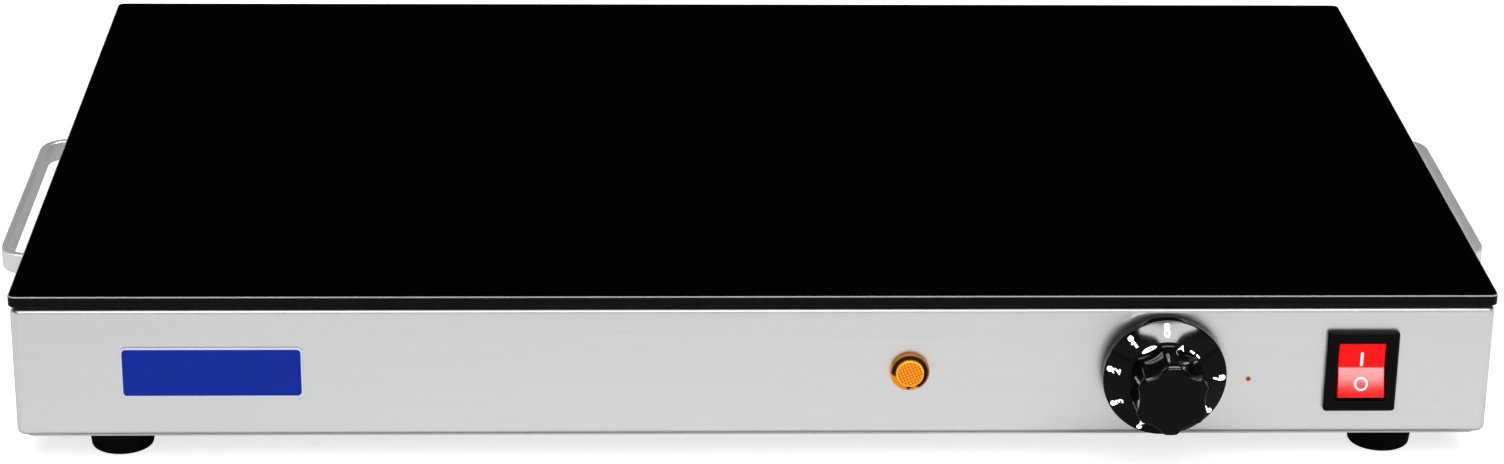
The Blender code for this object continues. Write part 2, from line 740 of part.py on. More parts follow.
def add_pilot(front):
    seat = SEAT_GAP
    flange_top = seat + PILOT_FLANGE_THICKNESS
    dome_top = flange_top + PILOT_DOME_HEIGHT
    profile = [
        (PILOT_STEM_RADIUS, seat - PILOT_STEM_LENGTH),
        (PILOT_STEM_RADIUS, seat),
        (PILOT_FLANGE_RADIUS, seat),
        (PILOT_FLANGE_RADIUS, flange_top),
        (PILOT_DOME_RADIUS, flange_top),
        (PILOT_DOME_RADIUS, dome_top - PILOT_DOME_EDGE),
        (PILOT_DOME_RADIUS - PILOT_DOME_EDGE, dome_top),
    ]
    lens = turned("pilot_lens", profile, PILOT_SEGMENTS)
    finish(place(lens, front, (PILOT_X, 0, 0)), AMBER)

    socket = PILOT_STEM_RADIUS + HOLE_CLEARANCE
    profile = [
        (PILOT_BODY_RADIUS, -PILOT_BODY_LENGTH),
        (PILOT_BODY_RADIUS, 0),
        (socket, 0),
        (socket, -PILOT_SOCKET_DEPTH),
    ]
    lamp = turned("pilot_body", profile, PILOT_SEGMENTS)
    finish(place(lamp, front, (PILOT_X, 0, 0)), BLACK_MATT)

    bore = PILOT_BODY_RADIUS + HOLE_CLEARANCE
    top = -SHEET - SEAT_GAP
    loops = []
    for radius, flats, height in (
        (PILOT_NUT_RADIUS, True, top - PILOT_NUT_THICKNESS),
        (PILOT_NUT_RADIUS, True, top),
        (bore, False, top),
        (bore, False, top - PILOT_NUT_THICKNESS),
    ):
        loops.append(hexagon(radius, height) if flats else circle(radius, height, PILOT_SEGMENTS))
    nut = loft("pilot_nut", loops, ring=True)
    finish(place(nut, front, (PILOT_X, 0, 0)), BLACK_MATT)


def hexagon(radius, height):
    """A hexagon with as many points as the pilot lamp's circles; the radius is to its corners."""
    points = []
    for step in range(PILOT_SEGMENTS):
        angle = 2 * math.pi * step / PILOT_SEGMENTS
        off_flat = (angle % (math.pi / 3)) - math.pi / 6
        reach = radius * math.cos(math.pi / 6) / math.cos(off_flat)
        points.append((reach * math.cos(angle), reach * math.sin(angle), height))
    return points


def grip_loop(radius, height):
    """The grip's outline: lobes on a circle, with flutes hollowed between them by arcs."""
    pitch = 2 * math.pi / GRIP_LOBES
    lobe = math.radians(GRIP_LOBE_ANGLE)
    half_flute = (pitch - lobe) / 2
    floor = radius * (1 - GRIP_FLUTE_DEPTH_SHARE)
    corner_x = radius * math.cos(half_flute)
    corner_y = radius * math.sin(half_flute)
    centre = (corner_x**2 + corner_y**2 - floor**2) / (2 * (corner_x - floor))
    arc_radius = centre - floor
    points = []
    for number in range(GRIP_LOBES):
        axis = math.pi / 2 + number * pitch + pitch / 2
        for step in range(-GRIP_FLUTE_STEPS, GRIP_FLUTE_STEPS + 1, 2):
            angle = half_flute * step / GRIP_FLUTE_STEPS
            reach = centre * math.cos(angle) - math.sqrt(arc_radius**2 - (centre * math.sin(angle)) ** 2)
            points.append((reach * math.cos(axis + angle), reach * math.sin(axis + angle), height))
        middle = axis + pitch / 2
        points.append((radius * math.cos(middle), radius * math.sin(middle), height))
    return points


def add_knob(pivot):
    ceiling = HUB_HEIGHT - KNOB_WALL
    bore = INSERT_RADIUS + HOLE_CLEARANCE
    profile = [
        (HUB_RADIUS, HUB_HEIGHT),
        (DIAL_RADIUS, KNOB_RIM_TOP + KNOB_RIM_EDGE),
        (KNOB_RADIUS, KNOB_RIM_TOP),
        (KNOB_RADIUS, KNOB_BACK + KNOB_RIM_EDGE),
        (KNOB_RADIUS - KNOB_RIM_EDGE, KNOB_BACK),
        (KNOB_RADIUS - KNOB_WALL, KNOB_BACK),
        (KNOB_RADIUS - KNOB_WALL, KNOB_RIM_TOP - KNOB_RIM_EDGE),
        (HUB_RADIUS - KNOB_WALL, ceiling),
        (BOSS_RADIUS, ceiling),
        (BOSS_RADIUS, KNOB_BACK + SEAT_GAP),
        (bore, KNOB_BACK + SEAT_GAP),
        (bore, ceiling),
    ]
    knob = turned("thermostat_knob", profile, KNOB_SEGMENTS)
    finish(place(knob, pivot), BLACK_GLOSS)
    loops = [
        grip_loop(GRIP_RADIUS + GRIP_DRAFT, HUB_HEIGHT - KNOB_WALL / 2),
        grip_loop(GRIP_RADIUS, GRIP_HEIGHT - GRIP_EDGE),
        grip_loop(GRIP_RADIUS - GRIP_EDGE, GRIP_HEIGHT),
    ]
    grip = place(loft("grip", loops), pivot)
    combine(knob, [grip], "UNION")

    top = ceiling - INSERT_INSET
    bottom = KNOB_BACK + SEAT_GAP + INSERT_INSET
    bore_radius = SPINDLE_RADIUS + HOLE_CLEARANCE
    bore_flat = SPINDLE_FLAT + HOLE_CLEARANCE
    loops = [
        circle(INSERT_RADIUS, bottom, ROUND_SEGMENTS),
        circle(INSERT_RADIUS, top, ROUND_SEGMENTS),
        flatted(bore_radius, bore_flat, top),
        flatted(bore_radius, bore_flat, bottom),
    ]
    finish(place(loft("knob_insert", loops, ring=True), pivot), BRASS)

    tip = ceiling - 2 * INSERT_INSET
    end = -BODY_FRONT - SPINDLE_SINK
    spindle = loft("thermostat_spindle", [flatted(SPINDLE_RADIUS, SPINDLE_FLAT, z) for z in (end, tip)])
    finish(place(spindle, pivot), ZINC)


def flatted(radius, flat, height):
    """A circle cut by a flat on its upper side, as on a D-shaped shaft."""
    return [(x, min(y, flat), z) for x, y, z in circle(radius, height, ROUND_SEGMENTS)]


def add_thermostat(front):
    centre = (KNOB_X, 0, 0)
    top = -SHEET - SEAT_GAP
    bottom = top - PLATE_THICKNESS
    half_x = PLATE_LENGTH / 2
    half_y = PLATE_HEIGHT / 2
    bore = SPINDLE_RADIUS + HOLE_CLEARANCE
    loops = [
        disc(BUSH_RADIUS, SEAT_GAP - BODY_FRONT),
        disc(BUSH_RADIUS, bottom),
        rounded(half_x, half_y, PLATE_CORNER, bottom),
        rounded(half_x, half_y, PLATE_CORNER, top),
        disc(BUSH_RADIUS, top),
        disc(BUSH_RADIUS, BUSH_HEIGHT),
        disc(bore, BUSH_HEIGHT),
        disc(bore, SEAT_GAP - BODY_FRONT),
    ]
    mount = finish(place(loft("thermostat_plate", loops, ring=True), front, centre), ZINC)
    shape = screw_mesh("thermostat_screw", M4_THREAD, M4_HEAD, M4_HEAD_HEIGHT, PLATE_SCREW_LENGTH)
    cutters = []
    for label, side in (("left", -1), ("right", 1)):
        spot = (KNOB_X + side * PLATE_SCREW_PITCH / 2, 0)
        cutters.append(drill("plate_hole", front, spot, M4_HOLE, SHEET + SEAT_GAP + PLATE_THICKNESS))
        add_screw("thermostat_screw_" + label, shape, front, (*spot, SEAT_GAP))
    combine(mount, cutters)

    half_x = BODY_LENGTH / 2
    half_y = BODY_HEIGHT / 2
    loops = [
        rounded(half_x, half_y, BODY_CORNER, -BODY_REAR),
        rounded(half_x, half_y, BODY_CORNER, -BODY_FRONT),
        disc(bore, -BODY_FRONT),
        disc(bore, -BODY_FRONT - SPINDLE_SINK - SEAT_GAP),
    ]
    finish(place(loft("thermostat_body", loops), front, centre), GREY)


def add_switch(front):
    seat = SEAT_GAP
    face = seat + BEZEL_THICKNESS
    loops = [
        rounded(HOUSING_LENGTH / 2, HOUSING_HEIGHT / 2, HOUSING_CORNER, -HOUSING_DEPTH),
        rounded(HOUSING_LENGTH / 2, HOUSING_HEIGHT / 2, HOUSING_CORNER, seat),
        rounded(BEZEL_LENGTH / 2, BEZEL_HEIGHT / 2, BEZEL_CORNER, seat),
        rounded(BEZEL_LENGTH / 2, BEZEL_HEIGHT / 2, BEZEL_CORNER, face - BEZEL_CHAMFER),
        rounded(BEZEL_LENGTH / 2 - BEZEL_CHAMFER, BEZEL_HEIGHT / 2 - BEZEL_CHAMFER,
                BEZEL_CORNER - BEZEL_CHAMFER, face),
        rounded(APERTURE_LENGTH / 2, APERTURE_HEIGHT / 2, APERTURE_CORNER, face),
        rounded(APERTURE_LENGTH / 2, APERTURE_HEIGHT / 2, APERTURE_CORNER, face - APERTURE_DEPTH),
    ]
    housing = finish(place(loft("switch_housing", loops), front, (SWITCH_X, 0, 0)), BLACK_GLOSS)
    pivot = empty("rocker_pivot", front, (SWITCH_X, 0, ROCKER_PIVOT))
    hole_radius = ROCKER_PIN_RADIUS + HOLE_CLEARANCE
    hole = turned("pin_hole", [(hole_radius, -HOUSING_LENGTH), (hole_radius, HOUSING_LENGTH)], ROUND_SEGMENTS)
    combine(housing, [place(hole, pivot, (0, 0, 0), (0, 90, 0))])

    rocker = finish(rocker_body(), RED)
    place(rocker, pivot, (0, 0, 0), (-ROCKER_TILT, 0, 0))
    reach = ROCKER_HALF_LENGTH + ROCKER_PIN_REACH
    pin = turned("pin", [(ROCKER_PIN_RADIUS, -reach), (ROCKER_PIN_RADIUS, reach)], ROUND_SEGMENTS)
    combine(rocker, [place(pin, pivot, (0, 0, 0), (0, 90, 0))], "UNION")


def rocker_body():
    """The rocker about its pivot: two faces that meet in a shallow valley, and ends round about the pivot."""
    top = math.degrees(math.asin(ROCKER_END_HEIGHT / ROCKER_HALF_HEIGHT))
    low = -math.degrees(math.asin(ROCKER_SKIRT / ROCKER_HALF_HEIGHT))
    upper_end = arc((0, 0), ROCKER_HALF_HEIGHT, low, top, ROCKER_END_STEPS)
    lower_end = [(-up, out) for up, out in reversed(upper_end)]
    drop = upper_end[-1][0] * math.tan(math.radians(ROCKER_TILT))
    valley = (0, ROCKER_END_HEIGHT - drop)
    outline = [*upper_end, valley, *lower_end]
    return extruded("switch_rocker", outline, "X", -ROCKER_HALF_LENGTH, ROCKER_HALF_LENGTH)


def add_inlet(rear):
    """Seen from behind: the rear panel's local x points to the tray's left."""
    face = SEAT_GAP + INLET_FLANGE_THICKNESS
    floor = face - INLET_MOUTH_DEPTH
    loops = [
        rounded(INLET_BODY_LENGTH / 2, INLET_BODY_HEIGHT / 2, INLET_BODY_CORNER, -INLET_BODY_DEPTH),
        rounded(INLET_BODY_LENGTH / 2, INLET_BODY_HEIGHT / 2, INLET_BODY_CORNER, SEAT_GAP),
        rounded(INLET_FLANGE_LENGTH / 2, INLET_FLANGE_HEIGHT / 2, INLET_FLANGE_CORNER, SEAT_GAP),
        rounded(INLET_FLANGE_LENGTH / 2, INLET_FLANGE_HEIGHT / 2, INLET_FLANGE_CORNER, face),
        rounded(INLET_MOUTH_LENGTH / 2, INLET_MOUTH_HEIGHT / 2, INLET_MOUTH_CORNER, face),
        rounded(INLET_MOUTH_LENGTH / 2, INLET_MOUTH_HEIGHT / 2, INLET_MOUTH_CORNER, floor),
    ]
    inlet = finish(place(loft("inlet_housing", loops), rear, (-INLET_X, 0, 0)), BLACK_MATT)
    cutters = []
    tail = -INLET_BODY_DEPTH - PIN_TAIL
    tip = face - PIN_SINK
    for name, (x, y) in pin_spots().items():
        centre = (0, 0, (tip + tail) / 2)
        size = (PIN_THICKNESS, PIN_WIDTH, tip - tail)
        pin = block("inlet_pin_" + name, size, centre)
        finish(place(pin, rear, (x - INLET_X, y, 0)), BRASS)
        size = (PIN_THICKNESS + 2 * HOLE_CLEARANCE, PIN_WIDTH + 2 * HOLE_CLEARANCE, tip - tail)
        slot = block("pin_slot", size, (0, 0, floor + CUT_OVERRUN - (tip - tail) / 2))
        cutters.append(place(slot, rear, (x - INLET_X, y, 0)))
    shape = screw_mesh("inlet_screw", M3_THREAD, M3_HEAD, M3_HEAD_HEIGHT, INLET_SCREW_LENGTH)
    for label, side in (("left", 1), ("right", -1)):
        spot = (side * INLET_SCREW_PITCH / 2 - INLET_X, 0)
        cutters.append(drill("flange_hole", rear, spot, M3_HOLE, INLET_FLANGE_THICKNESS, face))
        add_screw("inlet_screw_" + label, shape, rear, (*spot, INLET_SCREW_SEAT))
    combine(inlet, cutters)


def pin_spots():
    """The three pins' places from the inlet's centre, in the rear panel's frame."""
    return {"live": (-PIN_PITCH, -PIN_RISE), "earth": (0, PIN_RISE), "neutral": (PIN_PITCH, -PIN_RISE)}


def add_spreader(root):
    spreader = plate("heat_spreader", PAN_HALF_X + SPREADER_LAP, PAN_HALF_Y + SPREADER_LAP, SPREADER_CORNER,
                     SPREADER_BOTTOM, SPREADER_BOTTOM + SPREADER_THICKNESS)
    finish(place(spreader, root, (0, PAN_Y, 0)), ALUMINIUM)


def add_pan(root):
    wall_x = PAN_HALF_X - PAN_RIM
    wall_y = PAN_HALF_Y - PAN_RIM
    lip = PAN_TOP - SHEET
    loops = [
        rounded(wall_x, wall_y, PAN_CORNER, PAN_BOTTOM),
        rounded(wall_x, wall_y, PAN_CORNER, lip),
        rounded(PAN_HALF_X, PAN_HALF_Y, PAN_CORNER + PAN_RIM, lip),
        rounded(PAN_HALF_X, PAN_HALF_Y, PAN_CORNER + PAN_RIM, PAN_TOP),
        rounded(wall_x - SHEET, wall_y - SHEET, PAN_CORNER - SHEET, PAN_TOP),
        rounded(wall_x - SHEET, wall_y - SHEET, PAN_CORNER - SHEET, PAN_BOTTOM + SHEET),
    ]
    pan = finish(place(loft("reflector_pan", loops), root, (0, PAN_Y, 0)), ALUMINIUM)
    cutters = []
    for x, radius, centre in (
        (ELEMENT_SIDE_X, ELEMENT_RADIUS, ELEMENT_Z),
        (ELEMENT_RETURN_X, ELEMENT_RADIUS, ELEMENT_Z),
        (capillary_exit_x(), CAPILLARY_RADIUS, BULB_Z),
    ):
        half = radius + NOTCH_CLEARANCE
        bottom = centre - half
        top = PAN_TOP + CUT_OVERRUN
        size = (2 * half, 2 * PAN_RIM + 2 * CUT_OVERRUN, top - bottom)
        cutters.append(place(block("notch", size, (x, PAN_FRONT + PAN_RIM / 2, (top + bottom) / 2)), root))
    combine(pan, cutters)

    inner_x = wall_x - SHEET - BLANKET_MARGIN
    inner_y = wall_y - SHEET - BLANKET_MARGIN
    bottom = PAN_BOTTOM + SHEET + SEAT_GAP
    blanket = plate("insulation_blanket", inner_x, inner_y, PAN_CORNER - BLANKET_MARGIN,
                    bottom, bottom + BLANKET_THICKNESS)
    finish(place(blanket, root, (0, PAN_Y, 0)), WHITE_WOOL)


def add_rails(root):
    """Channels that stand on the cover and carry the pan: web down one side, flanges above and below."""
    bottom = COVER_TOP + SEAT_GAP
    top = PAN_BOTTOM - SEAT_GAP
    flange = RAIL_WIDTH - RAIL_BEND
    web = top - bottom - SHEET - 2 * RAIL_BEND
    half_length = PAN_HALF_Y - RAIL_MARGIN
    for label, side in (("left", -1), ("right", 1)):
        start = (RAIL_WIDTH / 2, bottom + SHEET / 2)
        moves = [(flange,), (-90, RAIL_BEND), (web,), (-90, RAIL_BEND), (flange,)]
        outline = [(side * x, z) for x, z in bent_strip(start, 180, moves, SHEET)]
        rail = extruded("pan_rail_" + label, outline, "Y", -half_length, half_length)
        finish(place(rail, root, (side * RAIL_PLACE_SHARE * HALF_X, PAN_Y, 0)), ZINC)


def element_route():
    """The element's centre line: back along the right side, to and fro across the pan, and out in front."""
    bend = ELEMENT_PITCH / 2
    left = -ELEMENT_SIDE_X + bend
    right = ELEMENT_RETURN_X - bend
    points = [(ELEMENT_SIDE_X, ELEMENT_END_Y)]
    points += arc((ELEMENT_SIDE_X - bend, ELEMENT_LAST_Y - bend), bend, 0, 90, ELEMENT_BEND_STEPS // 2)
    for run in range(ELEMENT_RUNS - 1):
        y = ELEMENT_LAST_Y - run * ELEMENT_PITCH - bend
        if run % 2 == 0:
            points += arc((left, y), bend, 90, 270, ELEMENT_BEND_STEPS)
        else:
            points += arc((right, y), bend, 90, -90, ELEMENT_BEND_STEPS)
    points += arc((right, ELEMENT_FIRST_Y - bend), bend, 90, 0, ELEMENT_BEND_STEPS // 2)
    points.append((ELEMENT_RETURN_X, ELEMENT_END_Y))
    return [(x, y, ELEMENT_Z) for x, y in points]


def strap_outline(half_span, depth):
    """A strap that hangs from the spreader: two legs and a bar under what it carries, about zero."""
    top = PAN_TOP
    bar = top - depth - SEAT_GAP - CLAMP_STRAP / 2
    leg = top - bar - CLAMP_BEND
    width = 2 * (half_span - CLAMP_BEND)
    moves = [(leg,), (90, CLAMP_BEND), (width,), (90, CLAMP_BEND), (leg,)]
    return bent_strip((-half_span, top), -90, moves, CLAMP_STRAP)


def add_element(root):
    finish(tube("heating_element", element_route(), ELEMENT_RADIUS, root), DARK_STEEL)
    middle = (ELEMENT_FIRST_Y + ELEMENT_LAST_Y) / 2
    span = (ELEMENT_LAST_Y - ELEMENT_FIRST_Y) / 2 + CLAMP_MARGIN
    outline = strap_outline(span, 2 * ELEMENT_RADIUS)
    for label, side in (("left", -1), ("right", 1)):
        clamp = extruded("element_clamp_" + label, outline, "X", -CLAMP_WIDTH / 2, CLAMP_WIDTH / 2)
        finish(place(clamp, root, (side * CLAMP_PLACE_SHARE * GLASS_LENGTH, middle, 0)), ZINC)

    bulb = turned("sensor_bulb", [(BULB_RADIUS, -BULB_LENGTH / 2), (BULB_RADIUS, BULB_LENGTH / 2)],
                  ROUND_SEGMENTS)
    finish(place(bulb, root, (0, BULB_Y, BULB_Z), (0, 90, 0)), COPPER)
    clip = extruded("sensor_clip", strap_outline(CLIP_HALF_SPAN, 2 * BULB_RADIUS), "X",
                    -CLIP_WIDTH / 2, CLIP_WIDTH / 2)
    finish(place(clip, root, (0, BULB_Y, 0)), ZINC)


def capillary_exit_x():
    return BULB_LENGTH / 2 + 2 * LEAD_REACH


def add_capillary(root):
    """From the thermostat's rear up to a notch in the pan, and on to the bulb's end."""
    rear = -HALF_Y + BODY_REAR + SEAT_GAP
    x = KNOB_X - BODY_LENGTH / 2 + LEAD_END
    z = CONTROL_Z + BODY_HEIGHT / 2 - LEAD_END
    exit_x = capillary_exit_x()
    marks = [
        (x, rear, z),
        (x, rear + LEAD_END, z),
        (x - LEAD_REACH, (rear + PAN_FRONT) / 2 + LEAD_END, (z + BULB_Z) / 2),
        (exit_x + LEAD_REACH, (rear + PAN_FRONT) / 2 + LEAD_END, BULB_Z),
        (exit_x, PAN_FRONT, BULB_Z),
        (exit_x, PAN_FRONT + PAN_RIM + SHEET, BULB_Z),
        (exit_x - LEAD_END, BULB_Y - LEAD_END / 2, BULB_Z),
        (exit_x - LEAD_REACH, BULB_Y, BULB_Z),
        (BULB_LENGTH / 2 + SEAT_GAP, BULB_Y, BULB_Z),
    ]
    finish(tube("thermostat_capillary", smooth_route(marks, WIRE_STEP), CAPILLARY_RADIUS, root), COPPER)


def add_wires(root):
    """Wires in the front space and along the right side, each from one terminal to the next."""
    switch_rear = -HALF_Y + HOUSING_DEPTH + SEAT_GAP
    body_rear = -HALF_Y + BODY_REAR + SEAT_GAP
    tail_end = HALF_Y - INLET_BODY_DEPTH - PIN_TAIL - SEAT_GAP
    loom_z = CASING_BOTTOM + LOOM_HEIGHT
    loom_end = PAN_FRONT + LEAD_REACH
    low = CONTROL_Z - TERMINAL_RISE
    high = CONTROL_Z + TERMINAL_RISE
    routes = {}

    for number, (name, pin) in enumerate((("live", "live"), ("neutral", "neutral"))):
        pin_x, pin_y = pin_spots()[pin]
        start_x = INLET_X - pin_x
        start_z = CONTROL_Z + pin_y
        loom_x = HALF_X - LOOM_SPACE - number * LOOM_PITCH
        end_x = SWITCH_X + TERMINAL_PITCH / 2 - number * TERMINAL_PITCH
        level = loom_z + number * LOOM_PITCH
        routes["wire_" + name + "_in"] = [
            (start_x, tail_end, start_z),
            (start_x, tail_end - LEAD_END, start_z),
            ((start_x + loom_x) / 2, tail_end - LEAD_REACH, (start_z + level) / 2),
            (loom_x, tail_end - 3 * LEAD_REACH, level),
            (loom_x, 0, level),
            (loom_x, loom_end, level),
            ((loom_x + end_x) / 2, switch_rear + LEAD_REACH + LEAD_END, (level + low) / 2),
            (end_x, switch_rear + LEAD_END, low),
            (end_x, switch_rear, low),
        ]

    pin_x, pin_y = pin_spots()["earth"]
    start_x = INLET_X - pin_x
    start_z = CONTROL_Z + pin_y
    floor = COVER_TOP + SEAT_GAP
    routes["wire_earth"] = [
        (start_x, tail_end, start_z),
        (start_x, tail_end - LEAD_END, start_z),
        (start_x - LEAD_REACH, tail_end - LEAD_REACH, start_z),
        (start_x - 2 * LEAD_REACH, tail_end - LEAD_REACH, start_z - LEAD_REACH),
        (start_x - 2 * LEAD_REACH, tail_end - LEAD_REACH, floor + LEAD_END),
        (start_x - 2 * LEAD_REACH, tail_end - LEAD_REACH, floor),
    ]

    left_terminal = SWITCH_X - TERMINAL_PITCH / 2
    body_x = KNOB_X + BODY_LENGTH / 2 - LEAD_END
    routes["wire_switch_to_thermostat"] = [
        (left_terminal, switch_rear, high),
        (left_terminal, switch_rear + LEAD_END, high),
        ((left_terminal + body_x) / 2, body_rear + LEAD_REACH, CONTROL_Z),
        (body_x, body_rear + LEAD_END, low),
        (body_x, body_rear, low),
    ]
    routes["wire_heater_live"] = [
        (body_x, body_rear, high),
        (body_x, body_rear + LEAD_END, high),
        (ELEMENT_RETURN_X, ELEMENT_END_Y - LEAD_END, ELEMENT_Z),
        (ELEMENT_RETURN_X, ELEMENT_END_Y - SEAT_GAP, ELEMENT_Z),
    ]
    right_terminal = SWITCH_X + TERMINAL_PITCH / 2
    routes["wire_heater_neutral"] = [
        (right_terminal, switch_rear, high),
        (right_terminal, switch_rear + LEAD_END, high),
        (ELEMENT_SIDE_X, ELEMENT_END_Y - LEAD_END, ELEMENT_Z),
        (ELEMENT_SIDE_X, ELEMENT_END_Y - SEAT_GAP, ELEMENT_Z),
    ]
    lamp_rear = -HALF_Y + PILOT_BODY_LENGTH + SEAT_GAP
    body_side = KNOB_X - BODY_LENGTH / 2 - SEAT_GAP
    lead_y = -HALF_Y + (BODY_FRONT + BODY_REAR) / 2
    routes["pilot_lead"] = [
        (PILOT_X, lamp_rear, CONTROL_Z),
        (PILOT_X, lamp_rear + LEAD_END, CONTROL_Z),
        (PILOT_X + 2 * LEAD_REACH, lamp_rear + LEAD_REACH, CONTROL_Z),
        (body_side - LEAD_REACH, lead_y + LEAD_END, CONTROL_Z),
        (body_side - LEAD_END, lead_y, CONTROL_Z),
        (body_side, lead_y, CONTROL_Z),
    ]
    looks = {
        "wire_live_in": BROWN,
        "wire_neutral_in": LIGHT_BLUE,
        "wire_earth": GREEN,
        "wire_switch_to_thermostat": BROWN,
        "wire_heater_live": BROWN,
        "wire_heater_neutral": LIGHT_BLUE,
        "pilot_lead": BLACK_MATT,
    }
    for name, marks in routes.items():
        finish(tube(name, smooth_route(marks, WIRE_STEP), WIRE_RADIUS, root), looks[name])


def main():
    remove_startup_objects()
    root = empty("tray", None, (0, SET_BACK, 0))
    panels = {
        "front": empty("front_panel", root, (0, -HALF_Y, CONTROL_Z), (90, 0, 0)),
        "rear": empty("rear_panel", root, (0, HALF_Y, CONTROL_Z), (90, 0, 180)),
        "left": empty("left_panel", root, (-HALF_X, 0, CONTROL_Z), (90, 0, -90)),
        "right": empty("right_panel", root, (HALF_X, 0, CONTROL_Z), (90, 0, 90)),
    }
    add_glass(root)
    add_casing(root, panels)
    add_cover(root)
    add_feet(root)
    handle_screw = screw_mesh("handle_screw", M4_THREAD, M4_HEAD, M4_HEAD_HEIGHT, HANDLE_SCREW_LENGTH)
    for side in ("left", "right"):
        add_handle(side, panels[side], handle_screw)
    add_badge(panels["front"])
    add_pilot(panels["front"])
    add_knob(empty("knob_axis", panels["front"], (KNOB_X, 0, 0)))
    add_thermostat(panels["front"])
    add_switch(panels["front"])
    add_inlet(panels["rear"])
    add_spreader(root)
    add_pan(root)
    add_rails(root)
    add_element(root)
    add_capillary(root)
    add_wires(root)


main()
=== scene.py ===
"""Dresses the electric food warmer tray: smooth surfaces, printed marks, finishes, studio and camera.

The solids come from the packed frame and stay where they are. Lengths are in metres and angles in
degrees. The tray stands with +Z up and its control panel faces -Y.
"""

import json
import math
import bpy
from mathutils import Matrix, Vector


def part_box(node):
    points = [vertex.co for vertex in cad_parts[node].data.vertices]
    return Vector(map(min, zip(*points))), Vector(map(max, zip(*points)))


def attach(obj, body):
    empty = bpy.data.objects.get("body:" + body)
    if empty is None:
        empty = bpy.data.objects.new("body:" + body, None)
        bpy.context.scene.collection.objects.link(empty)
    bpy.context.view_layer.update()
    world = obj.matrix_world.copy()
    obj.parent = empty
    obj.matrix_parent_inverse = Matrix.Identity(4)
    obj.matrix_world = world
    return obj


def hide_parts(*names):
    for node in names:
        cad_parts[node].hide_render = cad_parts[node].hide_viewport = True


bl_info = {
    "name": "Food warmer tray",
    "version": (1, 0, 0),
    "blender": (4, 5, 0),
    "location": "View3D > Sidebar > Food warmer",
    "description": "Surfaces, marks and finishes of an electric food warmer tray, with its studio",
    "category": "Object",
}

import bpy
import numpy as np
from bpy.props import FloatProperty, FloatVectorProperty, IntProperty, PointerProperty
from mathutils import Matrix

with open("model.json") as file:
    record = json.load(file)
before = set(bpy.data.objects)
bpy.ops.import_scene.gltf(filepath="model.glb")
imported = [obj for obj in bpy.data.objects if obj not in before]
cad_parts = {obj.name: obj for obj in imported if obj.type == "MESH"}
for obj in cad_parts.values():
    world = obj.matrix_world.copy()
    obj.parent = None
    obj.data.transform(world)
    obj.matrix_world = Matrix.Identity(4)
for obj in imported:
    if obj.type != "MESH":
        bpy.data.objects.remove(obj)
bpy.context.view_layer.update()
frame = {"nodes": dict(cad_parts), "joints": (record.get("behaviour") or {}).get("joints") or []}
JOINTS = {joint["name"]: joint for joint in frame["joints"]}
DIAL_CENTRE = JOINTS["knob_turn"]["pos_m"]
ROCKER_PIVOT = JOINTS["rocker_tilt"]["pos_m"]
PANEL_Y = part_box("casing")[0].y
DIAL_GLOSS = "Lit by the dial's lamps"
ROCKER_GLOSS = "Lit by the rocker's lamp"

WELD_DISTANCE = 0.000001
SHARP_ANGLE = 35
LEAST_CORNER = 0.0001
FLOOR_GAP = 0.0002
BORE_SPACE = 0.0003
BADGE_EDGE = 0.0003

# Dial: rows on the grip's face, each a share of its radius and how far the row follows the lobes
FACE_ROWS = ((0.85, 1), (0.7, 0.8), (0.4, 0.2), (0.1, 0))
MARKS = 8

# Turning marks on the dial's flat, in the order loop, arrow, dash, dash; a spot is an angle and a radius
LOOP_HALF = (0.0028, 0.0008)
LOOP_STROKE = 0.0006
ARROW = ((0.0, 0.0012), (-0.0013, -0.0010), (0.0, -0.0004), (0.0013, -0.0010))
DASH_HALF = (0.0010, 0.00032)
DASH_CORNER = 0.0003
SPOTS = ((118.5, 0.0143), (69.5, 0.0139), (52.8, 0.0144), (42.0, 0.0146))

# Red index on the panel, from the dial's centre
INDEX_RIGHT = 0.0312
INDEX_DOWN = 0.0035

# Pilot lens; each drop is measured back from the front of the solid
STEM_RADIUS = 0.0040
STEM_DEPTH = 0.0027
FLANGE_SEAT = 0.0003
FLANGE_DROP = 0.0018
FLANGE_EDGE = 0.0005
GROOVE_WIDTH = 0.0004
GROOVE_DEPTH = 0.0001
FACE_DROP = 0.0004
FACE_EDGE = 0.0004
PRISM_RIM = 0.0005
PRISM_CENTRE = 0.00008
PRISM_TURN = 24
FACE_SHARE = 0.70


def linear(code):
    """Linear red, green and blue, with alpha, of an sRGB colour written as six hex digits."""
    shares = [int(code[spot : spot + 2], 16) / 255 for spot in (0, 2, 4)]
    return (*[s / 12.92 if s <= 0.04045 else ((s + 0.055) / 1.055) ** 2.4 for s in shares], 1.0)


def length(name, description, default):
    """A length that a user would change."""
    return FloatProperty(name=name, description=description, default=default, unit="LENGTH", precision=5)


def amount(name, description, default):
    """A plain number that a user would change."""
    return FloatProperty(name=name, description=description, default=default)


def colour(name, description, code):
    """A colour that a user would change."""
    return FloatVectorProperty(
        name=name, description=description, default=linear(code), size=4, subtype="COLOR", min=0, max=1
    )


class StageSettings(bpy.types.PropertyGroup):
    """Floor, lamps and camera."""

    floor_size: length("Floor size", "Side of the square floor", 14.0)
    floor_colour: colour("Floor colour", "Colour of the pale floor", "BDBDBD")
    floor_glow: amount("Floor glow", "Brightness added to the floor as it is seen", 0.76)
    overhead_power: amount("Overhead lamp", "Power of the long lamp overhead", 29.0)
    fill_power: amount("Fill lamp", "Power of the large lamp above the front", 16.5)
    dial_power: amount("Dial lamps", "Power of each lamp that lights the dial alone", 68.0)
    rocker_power: amount("Rocker lamp", "Power of the lamp that lights the rocker alone", 3.6)
    focal_length: amount("Focal length", "In millimetres, on a 36 mm sensor", 89.87)


